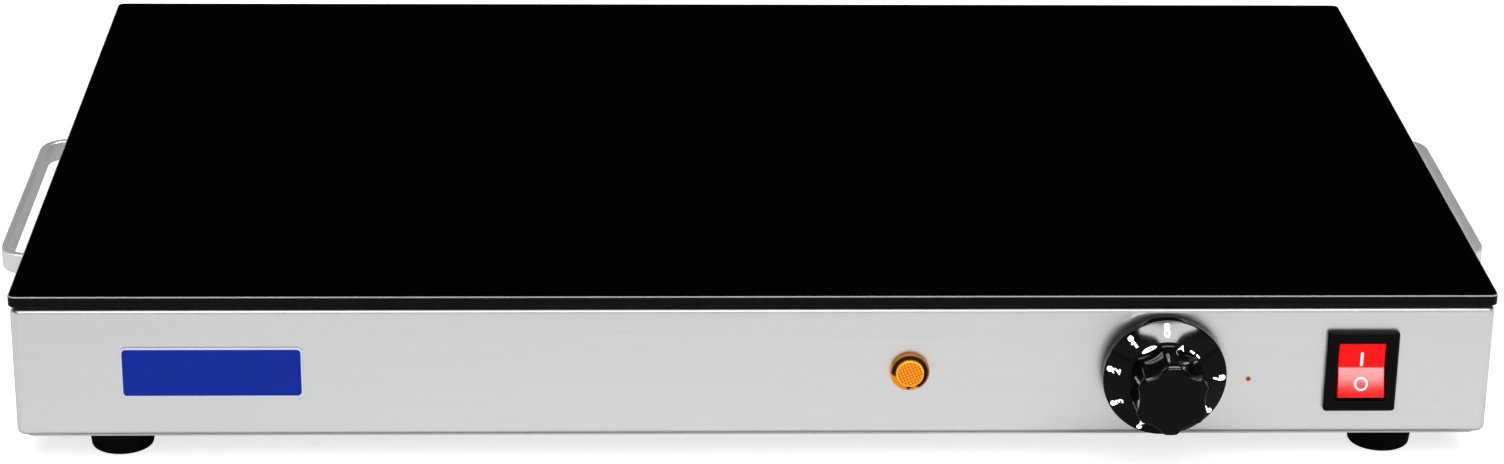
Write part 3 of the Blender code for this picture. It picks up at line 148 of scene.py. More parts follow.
class GlassSettings(bpy.types.PropertyGroup):
    """Black glass-ceramic plate."""

    corner: length("Corner radius", "Radius of the plate's corners", 0.0030)
    edge: length("Edge radius", "Radius ground on the upper and lower edges", 0.0004)
    tint: colour("Tint", "Body colour of the glass", "010101")
    # Ground edge colour: a ground finish, made pale grey partly as a painted highlight on the upper edge.
    ground: colour("Ground edge", "Colour of the ground upper edge", "858688")


class SteelSettings(bpy.types.PropertyGroup):
    """Stainless steel of the casing and handles."""

    casing_colour: colour("Casing colour", "Colour of the brushed casing", "DEDEDE")
    handle_colour: colour("Handle colour", "Colour of the satin handles", "EAEAE9")
    brush_pitch: length("Brush pitch", "Spacing of the brushed lines, coarser than the real 0.1 mm", 0.0007)
    brush_length: length("Brush length", "Typical length of a brushed line", 0.12)


class DialSettings(bpy.types.PropertyGroup):
    """Thermostat dial."""

    skirt_radius: length("Skirt radius", "Outer radius of the skirt", 0.0222)
    skirt_back: length("Skirt back", "Gap from the panel to the skirt", 0.0030)
    skirt_edge: length("Skirt edge", "Radius of the skirt's front edge", 0.0005)
    ring_height: length("Ring height", "Height of the printed ring at the skirt", 0.0070)
    hub_radius: length("Hub radius", "Radius of the flat round the grip", 0.0154)
    hub_height: length("Hub height", "Height of the flat round the grip", 0.0100)
    wall: length("Wall", "Thickness of the moulding", 0.0016)
    boss_radius: length("Boss radius", "Outer radius of the boss underneath", 0.0075)
    bore_radius: length("Bore radius", "Radius of the bore for the insert", 0.0048)
    grip_radius: length("Grip radius", "Radius of the grip's face to its lobes", 0.0134)
    grip_height: length("Grip height", "Height of the grip's face", 0.0275)
    grip_draft: length("Grip draft", "How far the grip widens to its root", 0.0003)
    edge: length("Edge radius", "Radius of the grip's front edge", 0.0013)
    lobes: IntProperty(name="Lobes", description="Lobes round the grip", default=6)
    lobe_angle: amount("Lobe angle", "Width of a lobe in degrees", 20.0)
    flute_depth_share: amount("Flute depth", "Share of the grip's radius", 0.13)
    first_angle: amount("First angle", "Place of the 0, in degrees", 91.5)
    dot_place: length("Dot place", "From the skirt down the ring to the dots", 0.0018)
    dot_radius: length("Dot radius", "Radius of the printed dots", 0.0010)
    digit_place: length("Digit place", "From the skirt down the ring to the digits' middle", 0.0042)
    digit_height: length("Digit height", "Height of the printed digits' font", 0.0043)
    relief: length("Relief", "Thickness of the print", 0.0001)
    moulding: colour("Moulding", "Colour of the moulded dial", "010101")
    print_colour: colour("Print", "Colour of the printed marks", "FAFAF8")


class LampSettings(bpy.types.PropertyGroup):
    """Pilot lamp's lens."""

    flange_radius: length("Flange radius", "Radius of the lens's flange", 0.00705)
    dome_radius: length("Dome radius", "Radius of the prismatic face", 0.0050)
    prism_pitch: length("Prism pitch", "Spacing of the small pyramids", 0.0011)
    prism_height: length("Prism height", "Height of the small pyramids", 0.00038)
    amber: colour("Amber", "Colour of the lens", "FF9800")
    # Groove colour: painted shade in the grooves between the prisms.
    groove: colour("Groove", "Colour of the grooves between the prisms", "C46A06")
    # Tip colour: a painted highlight on the prisms' tips.
    tip: colour("Tips", "Colour of the prisms' tips", "FFC24A")
    flange: colour("Flange", "Colour of the flange's rim", "A8620A")


class SwitchSettings(bpy.types.PropertyGroup):
    """Rocker of the mains switch."""

    half_length: length("Half width", "Half of the rocker's width", 0.0085)
    half_height: length("Half height", "Radius of the rocker's ends about its pivot", 0.0108)
    end_height: length("End height", "Height of the ends above the pivot", 0.0042)
    skirt: length("Skirt", "Depth of the ends below the pivot", 0.0030)
    tilt: amount("Tilt", "Tilt to either side, in degrees", 9.0)
    valley_place: length("Valley place", "Height of the valley over the pivot", 0.0013)
    hollow: length("Hollow", "How far each face is dished", 0.00012)
    edge: length("Edge radius", "Radius of the rocker's edges", 0.0004)
    line_length: length("Line length", "Length of the line mark", 0.0052)
    line_width: length("Line width", "Width of the line mark", 0.0010)
    line_place: length("Line place", "Height of the line mark's middle over the pivot", 0.0040)
    ring_radius: length("Ring radius", "Outer radius of the ring mark", 0.00248)
    ring_width: length("Ring width", "Width of the ring mark's stroke", 0.00068)
    ring_place: length("Ring place", "Height of the ring mark's middle over the pivot", -0.0051)
    relief: length("Relief", "Thickness of the marks", 0.0001)
    red: colour("Red", "Colour of the rocker", "FF0606")


class BadgeSettings(bpy.types.PropertyGroup):
    """Bare plate on the front, left of centre."""

    rim: length("Rim", "Width of the pale rim", 0.0006)
    corner: length("Corner radius", "Radius of the plate's corners", 0.0020)
    blue: colour("Blue", "Colour of the resin", "0A2AA0")
    rim_colour: colour("Rim colour", "Colour of the rim", "E6EAF2")


class FootSettings(bpy.types.PropertyGroup):
    """Rubber feet."""

    bottom_radius: length("Bottom radius", "Radius at the worktop", 0.0112)
    edge: length("Edge radius", "Radius of the lower edge", 0.0012)
    seat_radius: length("Seat radius", "Radius of the recess for the screw", 0.0041)
    seat_height: length("Seat height", "Height of the recess", 0.0044)
    bore_radius: length("Bore radius", "Radius of the bore above the recess", 0.0023)
    rubber: colour("Rubber", "Colour of the feet", "040404")


def mesh_piece(name, points, faces, sharp_angle=SHARP_ANGLE):
    """A piece made from an array of points and lists of corners, smooth but for its sharp edges."""
    mesh = bpy.data.meshes.new(name)
    mesh.from_pydata(points.tolist(), [], faces)
    mesh.shade_smooth()
    mesh.set_sharp_from_angle(angle=math.radians(sharp_angle))
    piece = bpy.data.objects.new(name, mesh)
    bpy.context.scene.collection.objects.link(piece)
    piece.modifiers.new("Flat faces stay flat", "WEIGHTED_NORMAL").keep_sharp = True
    return piece


def grid_faces(rows, columns, ring):
    """Quads of a grid whose columns close; with ring its rows close too, else both ends are capped."""
    index = np.arange(rows * columns).reshape(rows, columns)
    index = np.hstack([index, index[:, :1]])
    if ring:
        index = np.vstack([index, index[:1]])
    quads = np.stack([index[:-1, :-1], index[:-1, 1:], index[1:, 1:], index[1:, :-1]], axis=-1)
    faces = quads.reshape(-1, 4).tolist()
    if not ring:
        faces.append(list(range(columns))[::-1])
        faces.append(list(range((rows - 1) * columns, rows * columns)))
    return faces


def grid_piece(name, grid, ring=False, sharp_angle=SHARP_ANGLE):
    """A piece on a grid of points: rows run along it, columns run round it."""
    rows, columns, _ = grid.shape
    return mesh_piece(name, grid.reshape(-1, 3), grid_faces(rows, columns, ring), sharp_angle)


def on_panel(points, centre):
    """Turns points given as right, up and out from the front panel into the tray's frame, about a centre."""
    right, up, out = np.moveaxis(points, -1, 0)
    return np.stack([centre[0] + right, centre[1] - out, centre[2] + up], axis=-1)


def turned_grid(profile, segments, centre=(0, 0, 0)):
    """Grid of a profile turned about Z: x and y are radius times cosine and sine of an angle, z is height."""
    profile = np.array(profile)
    angles = np.linspace(0, 2 * np.pi, segments, endpoint=False)
    x = profile[:, :1] * np.cos(angles) + centre[0]
    y = profile[:, :1] * np.sin(angles) + centre[1]
    z = np.broadcast_to(profile[:, 1:] + centre[2], x.shape)
    return np.stack([x, y, z], axis=-1)


def quarter(centre, radius, start, end, steps=6):
    """Points of an arc: centre plus radius times cosine and sine of angles from start to end, in degrees."""
    angles = np.radians(np.linspace(start, end, steps + 1))
    return list(zip(centre[0] + radius * np.cos(angles), centre[1] + radius * np.sin(angles)))


def rounded_loop(half_x, half_y, radius, steps=10):
    """Outline of a rectangle with round corners: each corner's centre plus radius times cosine and sine."""
    sides = np.array(((1, 1), (-1, 1), (-1, -1), (1, -1)))
    centres = sides * (half_x - radius, half_y - radius)
    turns = np.radians(np.linspace(0, 90, steps + 1)) + np.arange(4)[:, None] * np.pi / 2
    corners = centres[:, None] + radius * np.stack([np.cos(turns), np.sin(turns)], axis=-1)
    return corners.reshape(-1, 2)


def slab_grid(half_x, half_y, corner, section, steps=10):
    """Grid of a rounded plate: for each inset and height of the section, the outline drawn in by it."""
    loops = []
    for inset, height in section:
        outline = rounded_loop(half_x - inset, half_y - inset, max(corner - inset, LEAST_CORNER), steps)
        loops.append(np.column_stack([outline, np.full(len(outline), height)]))
    return np.array(loops)


def welded_copy(node, name):
    """A copy of a CAD node with its loose triangles joined, so that its bends shade as one surface."""
    source = frame["nodes"][node].data
    points = np.empty(len(source.vertices) * 3, np.float32)
    source.vertices.foreach_get("co", points)
    corners = np.empty(len(source.loops), np.int32)
    source.loops.foreach_get("vertex_index", corners)
    points = points.reshape(-1, 3)
    cells = np.round(points / WELD_DISTANCE).astype(np.int64)
    _, first, number = np.unique(cells, axis=0, return_index=True, return_inverse=True)
    faces = number.reshape(-1)[corners].reshape(-1, 3)
    whole = (faces[:, 0] != faces[:, 1]) & (faces[:, 1] != faces[:, 2]) & (faces[:, 2] != faces[:, 0])
    return mesh_piece(name, points[first], faces[whole].tolist())


def dress(piece, body, slot, material, *nodes):
    """Gives a piece its finish and body, and hides the CAD nodes it stands for."""
    piece.data.materials.append(material)
    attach(piece, body)
    if nodes:
        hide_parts(*nodes)


def paint(material, *nodes):
    """Gives CAD nodes a finish in their own material slots."""
    for node in nodes:
        mesh = frame["nodes"][node].data
        if not mesh.materials:
            mesh.materials.append(material)
        for spot in range(len(mesh.materials)):
            mesh.materials[spot] = material


def add(tree, kind, inputs=None, stops=None, **settings):
    """Adds a node: settings are its own, inputs are sockets by name or number, stops fill a colour ramp."""
    node = tree.nodes.new(kind)
    for name, value in settings.items():
        setattr(node, name, value)
    for key, value in (inputs or {}).items():
        if isinstance(value, bpy.types.NodeSocket):
            tree.links.new(value, node.inputs[key])
        else:
            node.inputs[key].default_value = value
    if stops:
        elements = node.color_ramp.elements
        while len(elements) < len(stops):
            elements.new(1.0)
        for element, (place, shade) in zip(elements, stops):
            element.position = place
            element.color = shade
    return node


def base(name, **values):
    """A new material with its tree and shader; values are constants on the shader's own sockets."""
    material = bpy.data.materials.new(name)
    material.use_nodes = True
    tree = material.node_tree
    shader = tree.nodes["Principled BSDF"]
    for socket, value in values.items():
        shader.inputs[socket.replace("_", " ")].default_value = value
    return material, tree, shader


def shade(code, factor):
    """A colour, as hex digits or linear values, made darker or lighter by a factor."""
    values = linear(code) if isinstance(code, str) else code
    return (*[min(value * factor, 1.0) for value in values[:3]], 1.0)


def vary(tree, shader, tone, factor, ramp, rough_spread, height, bump, size):
    """Lets a noise factor shift the shader's colour and roughness a little, and a height lift its surface.

    ramp pairs a place on the factor with the colour's share there. size is the height's reach in metres.
    """
    stops = [(place, shade(tone, share)) for place, share in ramp]
    tones = add(tree, "ShaderNodeValToRGB", {"Fac": factor}, stops=stops)
    middle = shader.inputs["Roughness"].default_value
    limits = {"To Min": middle * (1 - rough_spread), "To Max": middle * (1 + rough_spread)}
    rough = add(tree, "ShaderNodeMapRange", {"Value": factor, "From Min": 0.3, "From Max": 0.7, **limits})
    lift = add(tree, "ShaderNodeBump", {"Height": height, "Strength": bump, "Distance": size})
    tree.links.new(tones.outputs["Color"], shader.inputs["Base Color"])
    tree.links.new(rough.outputs["Result"], shader.inputs["Roughness"])
    tree.links.new(lift.outputs["Normal"], shader.inputs["Normal"])


def grained(name, tone, scale, spread, bump, size, detail=3.0, **values):
    """A finish with a fine grain: noise shifts colour and roughness a little and lifts the surface.

    scale is in cells per metre, one number for all axes or one for each. spread is the share by which the
    colour varies, and size is the grain's height in metres.
    """
    material, tree, shader = base(name, **values)
    cells = scale if isinstance(scale, tuple) else (scale, scale, scale)
    place = add(tree, "ShaderNodeTexCoord").outputs["Object"]
    mapped = add(tree, "ShaderNodeMapping", {"Vector": place, "Scale": cells}).outputs["Vector"]
    noise = add(
        tree, "ShaderNodeTexNoise", {"Vector": mapped, "Scale": 1.0, "Detail": detail, "Roughness": 0.6}
    )
    factor = noise.outputs["Fac"]
    vary(tree, shader, tone, factor, ((0.3, 1 - spread), (0.7, 1 + spread)), 0.15, factor, bump, size)
    return material


def brushed_stainless(name, tone, pitch, stroke, roughness):
    """Cold-rolled stainless sheet, belt-brushed along its length: long level lines and a soft sheen.

    The lines lie level on every upright face, because the noise is drawn out along X and Y alike. Broad
    bands, several lines high, vary the tone a little more.
    """
    band_share = 0.2
    level, rise, band_rise = 1 / stroke, 1 / pitch, 0.15 / pitch
    material, tree, shader = base(name, Metallic=1.0, Roughness=roughness)
    place = add(tree, "ShaderNodeTexCoord").outputs["Object"]
    fine = add(tree, "ShaderNodeMapping", {"Vector": place, "Scale": (level, level, rise)}).outputs["Vector"]
    lines = add(tree, "ShaderNodeTexNoise", {"Vector": fine, "Scale": 1.0, "Detail": 4.0, "Roughness": 0.7})
    broad = add(tree, "ShaderNodeMapping", {"Vector": place, "Scale": (level, level, band_rise)})
    bands = add(tree, "ShaderNodeTexNoise", {"Vector": broad.outputs["Vector"], "Scale": 1.0, "Detail": 2.0})
    parts = {"Factor": band_share, 2: lines.outputs["Fac"], 3: bands.outputs["Fac"]}
    both = add(tree, "ShaderNodeMix", parts, data_type="FLOAT").outputs[0]
    vary(tree, shader, tone, both, ((0.34, 0.975), (0.66, 1.02)), 0.08, lines.outputs["Fac"], 0.06, 0.00003)
    return material


def black_glass_ceramic(tint):
    """Glass-ceramic, rolled and polished: deep black with a clean gloss that wiping left barely uneven."""
    material, tree, shader = base(
        "Black glass-ceramic", Base_Color=tint, Roughness=0.05, Specular_IOR_Level=0.1
    )
    place = add(tree, "ShaderNodeTexCoord").outputs["Object"]
    wiped = add(tree, "ShaderNodeMapping", {"Vector": place, "Scale": (9, 26, 9)}).outputs["Vector"]
    smears = add(
        tree, "ShaderNodeTexNoise", {"Vector": wiped, "Scale": 1.0, "Detail": 5.0, "Distortion": 0.6}
    )
    rough = add(
        tree,
        "ShaderNodeMapRange",
        {"Value": smears.outputs["Fac"], "From Min": 0.35, "From Max": 0.7, "To Min": 0.03, "To Max": 0.08},
    )
    tree.links.new(rough.outputs["Result"], shader.inputs["Roughness"])
    return material


def moulded_gloss(name, tone, level=0.5, roughness=0.14):
    """Gloss moulding, such as phenolic or ABS: a hard highlight with a faint orange-peel from the tool."""
    return grained(name, tone, 900, 0.06, 0.05, 0.00002, Roughness=roughness, Specular_IOR_Level=level)


def print_ink(name, tone):
    """Pad-printed ink: matt and opaque, a touch uneven where it is thin."""
    return grained(name, tone, 2500, 0.04, 0.05, 0.00001, Roughness=0.45)


class WARMER_OT_stage(bpy.types.Operator):
    """Floor, world, lamps and the camera at the photograph's angle"""

    bl_idname = "warmer.stage"
    bl_label = "Stage"

    def execute(self, context):
        stage = context.scene.warmer_stage
        half = stage.floor_size / 2
        corners = np.array([(-half, -half, 0), (half, -half, 0), (half, half, 0), (-half, half, 0)])
        floor = mesh_piece("floor", corners - (0, 0, FLOOR_GAP), [[0, 1, 2, 3]])
        floor.data.materials.append(self.floor_finish(stage))
        self.make_world(context.scene)
        # Each lamp has its place, its turn, its width and height, and its power.
        self.lamp("overhead_lamp", (0.05, 0.01, 1.30), (0, 0, 0), (2.6, 0.24), stage.overhead_power)
        self.lamp("fill_lamp", (0.30, -0.85, 1.10), (38, 0, 0), (2.2, 1.1), stage.fill_power)
        # The dial and the rocker have lamps that light them alone, so that steel and glass stay even.
        dial, rocker = bpy.data.collections.new(DIAL_GLOSS), bpy.data.collections.new(ROCKER_GLOSS)
        self.lamp("dial_front_lamp", (0.376, -1.612, 0.665), (67, 0, 9), (1.4, 0.2), stage.dial_power, dial)
        self.lamp("dial_top_lamp", (0.20, -0.10, 1.05), (0, 0, 0), (0.9, 0.5), stage.dial_power, dial)
        self.lamp(
            "rocker_lamp", (0.46, -1.27, 0.145), (84, 0, 11.5), (0.18, 0.16), stage.rocker_power, rocker
        )
        self.make_camera(context.scene, stage)
        context.scene.view_settings.view_transform = "Standard"
        return {"FINISHED"}

    def floor_finish(self, stage):
        """Pale matt board; as the eye sees it, a glow lifts it to white and its shadow stays."""
        material = bpy.data.materials.new("Pale matt board")
        material.use_nodes = True
        tree = material.node_tree
        tree.nodes.clear()
        place = add(tree, "ShaderNodeTexCoord").outputs["Object"]
        grain = add(tree, "ShaderNodeTexNoise", {"Vector": place, "Scale": 40.0, "Detail": 3.0})
        tones = add(
            tree,
            "ShaderNodeValToRGB",
            {"Fac": grain.outputs["Fac"]},
            stops=((0.3, shade(stage.floor_colour, 0.99)), (0.7, shade(stage.floor_colour, 1.01))),
        )
        board = add(tree, "ShaderNodeBsdfDiffuse", {"Color": tones.outputs["Color"]})
        path = add(tree, "ShaderNodeLightPath")
        seen = add(
            tree,
            "ShaderNodeMath",
            {0: path.outputs["Is Camera Ray"], 1: path.outputs["Is Transmission Ray"]},
            operation="MAXIMUM",
        )
        strength = add(
            tree, "ShaderNodeMath", {0: seen.outputs["Value"], 1: stage.floor_glow}, operation="MULTIPLY"
        )
        glow = add(tree, "ShaderNodeEmission", {"Strength": strength.outputs["Value"]})
        both = add(tree, "ShaderNodeAddShader", {0: board.outputs["BSDF"], 1: glow.outputs["Emission"]})
        add(tree, "ShaderNodeOutputMaterial", {"Surface": both.outputs["Shader"]})
        return material

    def make_world(self, scene):
        """Studio room: white round the horizon, a dark ring above it and a bright ceiling."""
        white, dark, ceiling = (1.0, 1.0, 1.0, 1.0), (0.002, 0.002, 0.002, 1.0), (0.25, 0.25, 0.26, 1.0)
        world = bpy.data.worlds.new("Studio room")
        world.use_nodes = True
        scene.world = world
        tree = world.node_tree
        tree.nodes.clear()
        place = add(tree, "ShaderNodeTexCoord")
        parts = add(tree, "ShaderNodeSeparateXYZ", {"Vector": place.outputs["Generated"]})
        tones = add(
            tree,
            "ShaderNodeValToRGB",
            {"Fac": parts.outputs["Z"]},
            stops=((0.0, white), (0.16, white), (0.26, dark), (0.62, dark), (0.85, ceiling)),
        )
        sky = add(tree, "ShaderNodeBackground", {"Color": tones.outputs["Color"], "Strength": 1.0})
        add(tree, "ShaderNodeOutputWorld", {"Surface": sky.outputs["Background"]})

    def lamp(self, name, place, turn, size, power, only=None):
        """A rectangular softbox of a width and height; only, where given, is all that it lights."""
        data = bpy.data.lights.new(name, "AREA")
        data.shape = "RECTANGLE"
        data.size, data.size_y = size
        data.energy = power
        lamp = bpy.data.objects.new(name, data)
        lamp.location = place
        lamp.rotation_euler = [math.radians(angle) for angle in turn]
        bpy.context.scene.collection.objects.link(lamp)
        if only:
            lamp.light_linking.receiver_collection = only

    def make_camera(self, scene, stage):
        data = bpy.data.cameras.new("camera")
        data.lens = stage.focal_length
        data.sensor_width = 36
        data.clip_start = 0.05
        camera = bpy.data.objects.new("camera", data)
        scene.collection.objects.link(camera)
        # Columns are the camera's right, up and back, fitted to the plate's edges and the casing's corners.
        camera.matrix_world = Matrix(
            (
                (0.99933, 0.00057, -0.03651, -0.0508),
                (-0.03405, 0.37531, -0.92627, -1.37535),
                (0.01317, 0.92690, 0.37508, 0.5845),
                (0, 0, 0, 1),
            )
        )
        scene.camera = camera


class WARMER_OT_glass(bpy.types.Operator):
    """Black glass plate with ground edges, and its seal"""

    bl_idname = "warmer.glass"
    bl_label = "Glass plate"

    def execute(self, context):
        glass = context.scene.warmer_glass
        low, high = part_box("glass_top")
        middle = (low + high) / 2
        half = (high - low) / 2
        edge = glass.edge
        lower = quarter((edge, low.z + edge), edge, 270, 180)
        upper = quarter((edge, high.z - edge), edge, 180, 90)
        grid = slab_grid(half.x, half.y, glass.corner, lower + upper) + (middle.x, middle.y, 0)
        plate = grid_piece("glass_plate", grid)
        dress(plate, "tray", "black_glass", black_glass_ceramic(glass.tint), "glass_top")
        plate.data.materials.append(
            grained("Ground glass edge", glass.ground, 900, 0.1, 0.1, 0.00002, Roughness=0.5)
        )
        # The faces of the upper edge take the ground finish; its pale grey is partly a painted highlight
        # along that edge.
        around = grid.shape[1]
        finish = np.zeros(len(plate.data.polygons), np.int32)
        finish[len(lower) * around : (len(grid) - 1) * around] = 1
        plate.data.polygons.foreach_set("material_index", finish)
        paint(grained("Black silicone", "1E1E1E", 800, 0.1, 0.1, 0.00003, Roughness=0.6), "glass_seal")
        return {"FINISHED"}


class WARMER_OT_sheet_metal(bpy.types.Operator):
    """Casing, handles and bottom cover"""

    bl_idname = "warmer.sheet_metal"
    bl_label = "Sheet metal"

    def execute(self, context):
        steel = context.scene.warmer_steel
        pitch, stroke = steel.brush_pitch, steel.brush_length
        brushed = brushed_stainless("Brushed 304 stainless", steel.casing_colour, pitch, stroke, 0.36)
        satin = brushed_stainless("Satin 304 bar", steel.handle_colour, pitch / 2, stroke / 4, 0.45)
        dress(welded_copy("casing", "casing_shell"), "tray", "brushed_steel", brushed, "casing")
        for side in ("left", "right"):
            bar = welded_copy("handle_" + side, f"handle_{side}_bar")
            dress(bar, "tray", "polished_steel", satin, "handle_" + side)
        zinc = zinc_plate()
        paint(zinc, "bottom_cover", "pan_rail_left", "pan_rail_right", "element_clamp_left")
        paint(zinc, "element_clamp_right", "sensor_clip", "thermostat_plate")
        return {"FINISHED"}


def zinc_plate():
    """Zinc-plated steel: a cool grey bright metal with faint clouds from the bath."""
    return grained(
        "Bright zinc plate", "BFC1C4", 60, 0.10, 0.1, 0.00002, detail=6.0, Metallic=1.0, Roughness=0.34
    )


class WARMER_OT_feet(bpy.types.Operator):
    """Rubber feet and every screw"""

    bl_idname = "warmer.feet"
    bl_label = "Feet and screws"

    def execute(self, context):
        foot = context.scene.warmer_foot
        rubber = grained(
            "Black nitrile rubber", foot.rubber, 1400, 0.25, 0.3, 0.00008, Roughness=0.62,
            Specular_IOR_Level=0.06,
        )
        for place in ("front_left", "front_right", "rear_left", "rear_right"):
            low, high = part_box("foot_" + place)
            middle = (low + high) / 2
            top_radius = (high.x - low.x) / 2
            profile = [
                (foot.seat_radius, foot.seat_height),
                (foot.seat_radius, 0),
                *quarter((foot.bottom_radius - foot.edge, foot.edge), foot.edge, 270, 360),
                (top_radius, high.z),
                (foot.bore_radius, high.z),
                (foot.bore_radius, foot.seat_height),
            ]
            grid = turned_grid(profile, 72, (middle.x, middle.y, low.z))
            piece = grid_piece("foot_pad_" + place, grid, ring=True)
            dress(piece, "tray", "black_rubber", rubber, "foot_" + place)
        screws = [node for node in frame["nodes"] if "screw" in node]
        paint(zinc_plate(), *[node for node in screws if not node.startswith("handle")])
        satin = grained("Stainless screw", "C9C9C8", 1500, 0.05, 0.1, 0.00001, Metallic=1.0, Roughness=0.25)
        paint(satin, *[node for node in screws if node.startswith("handle")])
        return {"FINISHED"}


def lobed_outline(angles, dial):
    """Grip's outline at radius one: a circle at the lobes, and between them arcs that bow inwards.

    Within a flute the radius is c cos a less the root of r squared less (c sin a) squared, where a is the
    angle from the flute's middle, c the arc's centre and r its radius. A running mean, about
    softness degrees to each side, rounds the edges.
    """
    softness = 1.6
    pitch = 2 * np.pi / dial.lobes
    half_flute = (pitch - math.radians(dial.lobe_angle)) / 2
    floor = 1 - dial.flute_depth_share
    corner_x, corner_y = math.cos(half_flute), math.sin(half_flute)
    centre = (corner_x**2 + corner_y**2 - floor**2) / (2 * (corner_x - floor))
    arc_radius = centre - floor
    off = (angles - np.pi / 2) % pitch - pitch / 2
    bow = centre * np.cos(off) - np.sqrt(np.maximum(arc_radius**2 - (centre * np.sin(off)) ** 2, 0))
    reach = np.where(np.abs(off) < half_flute, bow, 1.0)
    window = np.hanning(2 * round(len(angles) * softness / 360) + 3)
    spread = np.concatenate([reach[-len(window) :], reach, reach[: len(window)]])
    smooth = np.convolve(spread, window / window.sum(), mode="same")
    return smooth[len(window) : -len(window)]


def dial_grid(dial, segments=360):
    """Grid of the dial in the panel's frame. Each row has a radius, a height and a share of the grip's lobes.

    The radius at an angle is row radius times (1 less share plus share times the lobed outline).
    """
    ceiling = dial.hub_height - dial.wall
    bore_end = PANEL_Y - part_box("knob_insert")[0].y + BORE_SPACE
    inner_radius = dial.skirt_radius - dial.wall
    edge = dial.skirt_edge
    back = dial.skirt_back
    low = quarter((dial.skirt_radius - edge, back + edge), edge, 270, 360)
    # The front edge turns until it meets the ring's slope.
    high = quarter((dial.skirt_radius - edge, dial.ring_height - edge), edge, 0, 66)
    root = dial.grip_radius + dial.grip_draft
    rise = quarter((root + edge, dial.hub_height + edge), edge, 270, 180)
    top = dial.grip_height
    run = top - dial.edge - dial.hub_height - edge
    shaft = [
        (root - share * dial.grip_draft, dial.hub_height + edge + share * run) for share in (0.33, 0.66)
    ]
    front = quarter((dial.grip_radius - dial.edge, top - dial.edge), dial.edge, 0, 90, 8)
    rows = [
        (dial.bore_radius, bore_end, 0),
        (dial.bore_radius, back, 0),
        (dial.boss_radius, back, 0),
        (dial.boss_radius, ceiling, 0),
        (dial.hub_radius, ceiling, 0),
        (inner_radius, dial.ring_height - dial.wall, 0),
        (inner_radius, back, 0),
        *[(*pair, 0) for pair in low + high],
        (dial.hub_radius, dial.hub_height, 0),
        *[(*pair, 1) for pair in rise + shaft + front],
        *[(dial.grip_radius * part, top, lobed) for part, lobed in FACE_ROWS],
    ]
    radius, height, share = np.array(rows).T[:, :, None]
    angles = np.linspace(0, 2 * np.pi, segments, endpoint=False)
    reach = radius * (1 - share + share * lobed_outline(angles, dial))
    out = np.broadcast_to(height, reach.shape)
    return np.stack([reach * np.cos(angles), reach * np.sin(angles), out], axis=-1)


def thick(outline, relief):
    """Points and faces of a flat outline made twice its relief thick, half of it above zero."""
    count = len(outline)
    levels = [np.column_stack([outline, np.full(count, level)]) for level in (-relief, relief)]
    return np.concatenate(levels), grid_faces(2, count, False)


def digit_shape(digit, size, relief):
    """Points and faces of a digit about zero, from Blender's own font made a little bolder."""
    height_share, boldness = 0.72, 0.025
    if digit == "1":
        # The font's 1 is a bare bar, so this one is drawn: a bar with a flag, in shares of its height.
        bar = ((-0.12, -0.5), (0.14, -0.5), (0.14, 0.5), (-0.04, 0.5))
        flag = ((-0.36, 0.22), (-0.24, 0.06), (-0.12, 0.16))
        return thick(np.array(bar + flag) * size * height_share, relief)
    data = bpy.data.curves.new("digit", "FONT")
    data.body = digit
    data.size = size
    data.extrude = relief
    data.offset = size * boldness
    holder = bpy.data.objects.new("digit", data)
    bpy.context.scene.collection.objects.link(holder)
    bpy.context.view_layer.update()
    mesh = bpy.data.meshes.new_from_object(holder.evaluated_get(bpy.context.evaluated_depsgraph_get()))
    points = np.empty(len(mesh.vertices) * 3, np.float32)
    mesh.vertices.foreach_get("co", points)
    faces = [list(face.vertices) for face in mesh.polygons]
    bpy.data.objects.remove(holder)
    bpy.data.curves.remove(data)
    bpy.data.meshes.remove(mesh)
    points = points.reshape(-1, 3).astype(float)
    points[:, :2] -= (points[:, :2].max(0) + points[:, :2].min(0)) / 2
    return points, faces


def bent_ring(half_x, half_y, stroke, relief, segments=48):
    """Points and faces of an elliptical ring: its section, a stroke wide, runs round the ellipse."""
    angles = np.linspace(0, 2 * np.pi, segments, endpoint=False)
    section = ((0, -relief), (0, relief), (-stroke, relief), (-stroke, -relief))
    loops = []
    for grow, level in section:
        x, y = (half_x + grow) * np.cos(angles), (half_y + grow) * np.sin(angles)
        loops.append(np.column_stack([x, y, np.full(segments, level)]))
    return np.concatenate(loops), grid_faces(len(section), segments, True)


def join_shapes(shapes):
    """Points and faces of several shapes as one: the faces of each are shifted past the points before it."""
    points, faces, start = [], [], 0
    for shape_points, shape_faces in shapes:
        points.append(shape_points)
        faces += [[start + corner for corner in face] for face in shape_faces]
        start += len(shape_points)
    return np.concatenate(points), faces


def on_ring(points, angle, down, dial):
    """Lays a flat shape on the dial's sloping ring: its y runs out to the skirt, x round it and z off it.

    down is the distance from the skirt down the ring to the shape's middle.
    """
    across, along = dial.skirt_radius - dial.hub_radius, dial.hub_height - dial.ring_height
    run = math.hypot(across, along)
    down = down - points[:, 1]
    radius = dial.skirt_radius + (along * points[:, 2] - across * down) / run
    height = dial.ring_height + (across * points[:, 2] + along * down) / run
    turn = math.radians(angle) - points[:, 0] / radius
    return np.stack([radius * np.cos(turn), radius * np.sin(turn), height], axis=-1)


def on_hub(points, angle, radius, dial):
    """Lays a flat shape on the flat round the grip: its x runs clockwise, its y outward."""
    turn = math.radians(angle) - points[:, 0] / radius
    reach = radius + points[:, 1]
    return np.stack([reach * np.cos(turn), reach * np.sin(turn), dial.hub_height + points[:, 2]], axis=-1)


